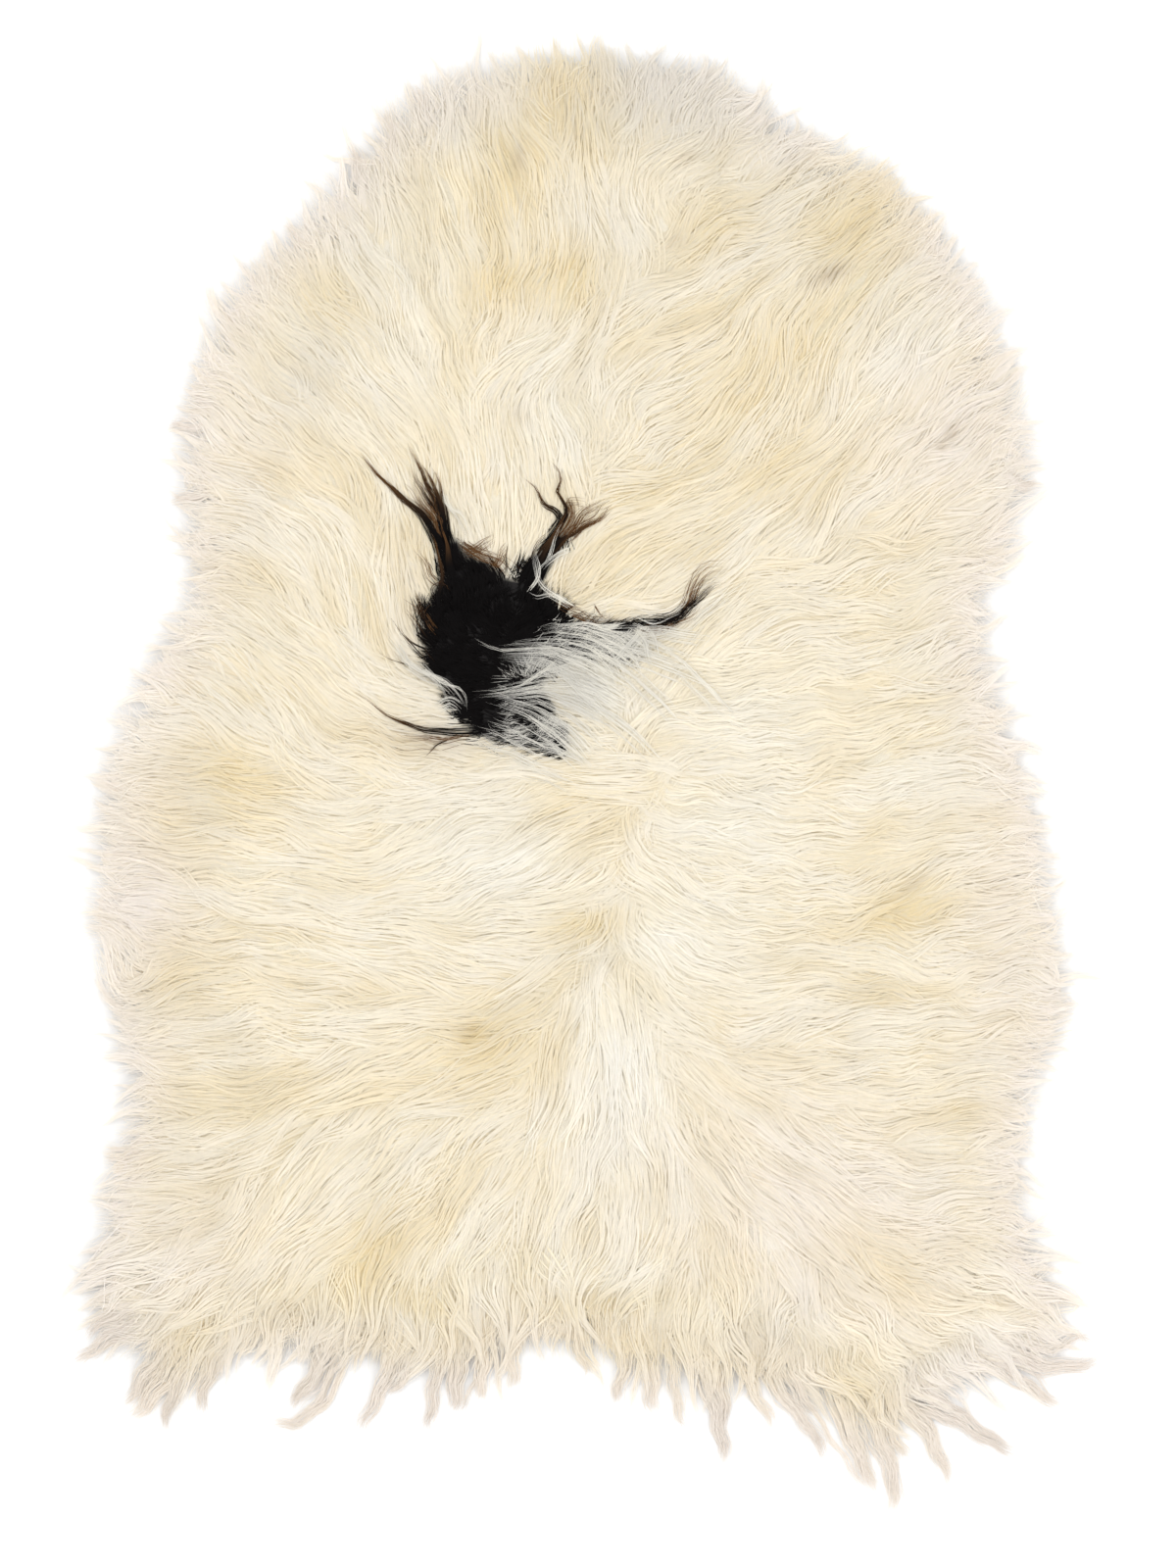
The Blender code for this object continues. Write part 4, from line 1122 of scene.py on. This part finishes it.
SPIKES = (  # kind, hairs, width at the root in mm, and the way in pixels of the photograph
    (SPIKE, 80, 8, (458, 590, 450, 560, 440, 538, 428, 523, 414, 511, 400, 499, 386, 485,
        368, 464)),
    (SPIKE, 40, 6, (458, 565, 451, 535, 446, 514, 437, 497, 430, 481, 424, 468, 415, 448)),
    (SPIKE, 40, 5.5, (460, 565, 454, 532, 449, 508, 441, 492, 434, 480, 428, 470)),
    (SPIKE, 30, 7, (462, 565, 457, 538, 453, 512, 448, 494, 440, 478)),
    (SPIKE, 14, 3, (456, 545, 446, 522, 435, 506, 426, 493, 424, 485, 423, 471)),
    (SMOKE, 22, 5, (454, 560, 444, 535, 434, 518, 424, 504, 412, 492)),
    (SMOKE, 16, 5, (456, 555, 448, 528, 440, 508, 432, 494, 430, 480)),
    (SPIKE, 50, 8, (466, 600, 460, 575, 456, 552, 452, 534)),
    (SMOKE, 26, 4, (466, 550, 482, 562, 500, 570, 516, 580, 530, 592)),
    (SMOKE, 18, 4, (472, 566, 486, 562, 498, 556, 506, 548)),
    (SMOKE, 14, 4, (500, 584, 508, 576, 514, 566, 522, 560)),
    (SPIKE, 24, 4.5, (446, 640, 448, 612, 452, 588, 448, 562, 440, 542)),
    (CURL, 110, 10, (536, 606, 545, 582, 557, 562, 569, 543, 580, 520)),
    (CURL, 60, 8, (548, 596, 562, 570, 577, 552, 588, 538, 594, 526)),
    (CURL, 32, 6, (558, 560, 570, 540, 578, 524, 573, 510, 568, 502, 572, 494, 571, 484,
        565, 477, 561, 471)),
    (CURL, 26, 5, (556, 556, 571, 534, 567, 523, 556, 517, 551, 508, 547, 500, 540, 495,
        533, 487)),
    (CURL, 46, 6, (546, 590, 560, 566, 576, 552, 590, 544, 604, 536, 616, 529, 624, 524)),
    (SMOKE, 24, 4, (562, 556, 576, 538, 584, 524, 578, 512, 590, 513, 606, 521)),
    (SMOKE, 24, 5, (566, 560, 582, 545, 594, 530, 606, 520, 622, 510)),
    (SMOKE, 18, 4, (580, 552, 598, 540, 614, 528, 628, 512)),
    (STREAK, 50, 5, (604, 646, 628, 641, 652, 637, 676, 634, 696, 627, 710, 614)),
    (STREAK, 60, 5, (645, 640, 672, 636, 692, 630, 706, 618, 716, 606, 728, 598, 742, 594)),
    (STREAK, 10, 5, (446, 600, 436, 618, 430, 640, 430, 662, 440, 684)),
    (STREAK, 14, 5, (450, 664, 438, 644, 430, 624, 426, 604)),
    (SMOKE, 10, 4, (450, 650, 436, 634, 424, 622, 408, 616)),
    (SMOKE, 8, 3, (452, 598, 440, 588, 434, 572, 426, 556)),
    (SMOKE, 22, 4, (684, 634, 698, 622, 705, 610, 707, 598, 713, 587, 726, 581, 742, 578)),
    (SMOKE, 16, 6, (640, 648, 665, 644, 690, 638, 706, 628, 718, 612)),
    (SPIKE, 30, 5, (500, 748, 470, 748, 445, 747, 420, 741, 403, 734, 388, 724, 363, 704)),
    (SMOKE, 12, 3, (490, 750, 455, 755, 425, 754, 402, 748)),
    (WISP, 5, 2, (462, 754, 448, 760, 440, 766, 432, 774)),
    (WISP, 8, 2, (456, 650, 440, 640, 432, 630, 436, 620, 448, 614)),
    (WISP, 6, 2, (458, 625, 444, 612, 441, 600, 452, 596, 460, 606)),
    (WISP, 7, 3, (452, 670, 434, 650, 424, 636, 413, 619)),
    (WISP, 5, 2, (448, 680, 428, 668, 412, 648, 396, 628, 384, 614)),
    (WISP, 6, 3, (444, 650, 432, 625, 427, 610, 420, 598)),
    (WISP, 4, 2, (448, 690, 425, 682, 405, 676, 385, 664)),
    (WISP, 5, 2, (444, 664, 428, 660, 418, 652, 408, 640)),
    (WISP, 5, 1, (516, 592, 517, 575, 518, 562, 520, 550)),
    (WISP, 5, 1, (537, 595, 543, 566, 552, 552, 562, 543)),
    (SMOKE, 9, 3, (562, 608, 582, 620, 600, 628, 614, 638)),
    (SMOKE, 9, 3, (577, 624, 592, 632, 608, 635, 624, 638)),
    (SMOKE, 3, 1, (604, 616, 612, 624, 620, 632, 626, 638)),
)
SILVERS = (  # strands, width at the root and the tip in mm, and the way in pixels
    (1, 1, 1, (600, 672, 562, 662, 535, 664, 508, 664, 490, 657, 481, 648)),
    (11, 12, 4, (642, 704, 612, 684, 580, 668, 550, 662, 526, 664, 505, 664)),
    (12, 12, 6, (644, 712, 615, 696, 584, 682, 556, 670, 530, 668, 506, 668)),
    (12, 12, 6, (630, 736, 600, 712, 576, 690, 552, 678, 530, 672, 512, 668)),
    (12, 12, 6, (640, 722, 606, 702, 580, 688, 560, 676, 546, 664, 530, 654)),
    (11, 10, 3, (640, 722, 604, 706, 570, 700, 536, 704, 508, 709, 478, 709)),
    (10, 10, 4, (620, 735, 590, 720, 560, 708, 530, 708, 500, 710)),
    (9, 12, 4, (604, 776, 588, 756, 566, 738, 540, 724, 516, 716, 496, 711)),
    (4, 10, 4, (600, 786, 574, 762, 550, 742, 528, 728, 504, 720)),
    (2, 8, 6, (590, 784, 562, 764, 540, 750, 516, 738, 496, 730)),
    (2, 8, 6, (560, 774, 536, 760, 516, 750, 496, 742, 478, 738)),
    (3, 3, 2, (594, 676, 568, 683, 548, 690, 528, 702, 506, 708)),
    (2, 3, 2, (572, 672, 556, 684, 540, 694, 522, 704, 500, 708)),
    (6, 10, 8, (650, 684, 622, 664, 598, 652, 570, 646, 545, 650)),
    (5, 8, 8, (652, 668, 632, 652, 606, 643, 580, 640, 556, 646)),
    (5, 3, 3, (640, 637, 620, 640, 604, 638, 592, 638, 580, 644)),
    (7, 14, 10, (640, 700, 632, 680, 620, 664, 604, 652, 590, 648)),
    (6, 12, 10, (664, 676, 650, 662, 630, 652, 612, 650, 596, 656)),
    (7, 10, 10, (655, 640, 645, 655, 632, 668, 622, 680, 618, 694)),
    (4, 4, 3, (404, 664, 422, 680, 440, 690, 454, 705, 462, 730)),
    (4, 3, 3, (410, 672, 432, 686, 456, 698, 470, 712, 477, 730)),
    (2, 2, 2, (430, 676, 448, 694, 468, 702, 476, 712, 478, 728)),
    (3, 3, 2, (402, 650, 410, 664, 420, 680, 440, 694, 450, 712)),
    (2, 3, 2, (538, 606, 548, 592, 550, 576, 544, 562)),
    (3, 3, 3, (590, 622, 568, 608, 552, 598, 548, 580, 545, 564)),
    (3, 3, 2, (586, 562, 566, 572, 554, 582, 548, 598)),
    (1, 1, 1, (580, 614, 560, 608, 548, 610, 538, 606)),
    (2, 3, 2, (556, 580, 562, 562, 568, 546, 574, 530)),
    (3, 3, 3, (452, 500, 458, 516, 466, 527, 475, 540, 484, 556)),
    (3, 3, 3, (457, 505, 462, 520, 474, 528, 481, 543, 488, 556)),
    (3, 4, 4, (742, 604, 722, 622, 700, 640, 676, 658)),
    (6, 10, 10, (640, 636, 660, 646, 680, 644, 700, 634)),
    (6, 12, 12, (655, 640, 664, 655, 668, 670, 676, 690)),
    (4, 12, 10, (560, 786, 530, 772, 505, 763, 472, 758)),
    (5, 12, 12, (600, 790, 575, 778, 548, 770, 520, 766)),
    (4, 6, 6, (446, 722, 458, 716, 468, 720, 476, 728)),
    (6, 10, 8, (731, 697, 673, 674, 621, 659, 569, 651, 523, 662)),
    (5, 8, 6, (725, 651, 673, 644, 627, 643, 598, 641)),
    (6, 12, 8, (696, 743, 662, 708, 627, 680, 592, 668, 546, 668)),
    (5, 12, 8, (673, 778, 638, 743, 598, 720, 552, 708, 506, 708)),
    (5, 10, 10, (748, 732, 708, 691, 673, 662, 638, 648)),
    (6, 10, 8, (708, 674, 662, 657, 615, 651, 569, 657)),
)
core_locks = lock_set(
    spacing=0.0125, seed=72, least=0.004, line=patch_line, length=(0.024, 0.038), width=0.007,
    depth=(-0.001, 0.001), lift=(0.0, 0.001),
)
grey_locks = lock_set(
    spacing=0.0130, seed=78, least=0.0, line=GREY_PLACES, length=(0.024, 0.040), width=0.009,
    depth=(-0.001, 0.0), lift=(0.0, 0.001), turn=24.0,
)
spike_rows = [
    {**kind, "hairs": hairs, "root": root / 1000, "route": way}
    for kind, hairs, root, way in SPIKES
]
silver_rows = [
    {
        **SILVER, "strands": strands, "hairs": STRAND_HAIRS * strands,
        "root": root / 1000, "tip": tip / 1000, "route": way,
    }
    for strands, root, tip, way in SILVERS
]
spikes = routed(spike_rows, segments=8, seed=73)
silvers = routed(silver_rows, segments=7, seed=75)
patch_pieces = [
    coat("patch_core", core_locks, CORE, dark_wool, "dark_wool"),
    hair_piece("patch_spikes", *spikes, 74, dark_wool, "dark_wool"),
    hair_piece("patch_silver", *silvers, 76, silver_wool, "dark_wool"),
    coat("patch_grey", grey_locks, GREYING, silver_wool, "dark_wool"),
]

# ---------------------------------------------------------------- floor, light and camera
# A plain white studio floor and soft light from above and from the left, so that the skin lies
# almost without a shadow, and a camera straight above it with its top towards the neck.

FLOOR_HALF = 12.0
FLOOR_DROP = 0.0003
VIEW_LENGTH = 1.216  # of the floor, that the photograph's long side takes in
VIEW_MIDDLE = (0.0036, -0.0079)
LENS, SENSOR = 85.0, 36.0  # mm
FLEECE_LEVEL = 0.035
LIGHTS = (  # name, place, side of the soft box, watts
    ("key_light", (-0.5, 0.4, 2.8), 1.4, 28.5), ("fill_light", (1.4, -0.9, 2.4), 1.6, 17.0),
)

corners = ((-1, -1), (1, -1), (1, 1), (-1, 1))
corners = [(FLOOR_HALF * x, FLOOR_HALF * y, -FLOOR_DROP) for x, y in corners]
floor_mesh = bpy.data.meshes.new("studio_floor")
floor_mesh.from_pydata(corners, [], [(0, 1, 2, 3)])
floor = add_object("studio_floor", floor_mesh)
paper, tree, shader = new_material("white_floor")
tone = mixed(tree, grains(tree, 3.0, 2.0), (0.84, 0.84, 0.84, 1), (0.86, 0.86, 0.86, 1))
feed(tree, tone, shader.inputs["Base Color"])
settle(shader, Roughness=0.9, Specular_IOR_Level=0.1)
floor_mesh.materials.append(paper)

world = bpy.data.worlds.new("studio")
world.use_nodes = True
settle(world.node_tree.nodes["Background"], Color=(1.0, 1.0, 1.0, 1), Strength=1.0)
bpy.context.scene.world = world
for name, place, side, power in LIGHTS:
    lamp = bpy.data.lights.new(name, "AREA")
    lamp.size, lamp.energy = side, power
    light = add_object(name, lamp)
    light.location = place
    light.rotation_euler = (-Vector(place)).to_track_quat("-Z", "Y").to_euler()

camera_data = bpy.data.cameras.new("camera")
camera_data.lens, camera_data.sensor_width = LENS, SENSOR
camera = add_object("camera", camera_data)
camera.location = (*VIEW_MIDDLE, FLEECE_LEVEL + VIEW_LENGTH * LENS / SENSOR)
bpy.context.scene.camera = camera
bpy.context.scene.view_settings.view_transform = "Standard"
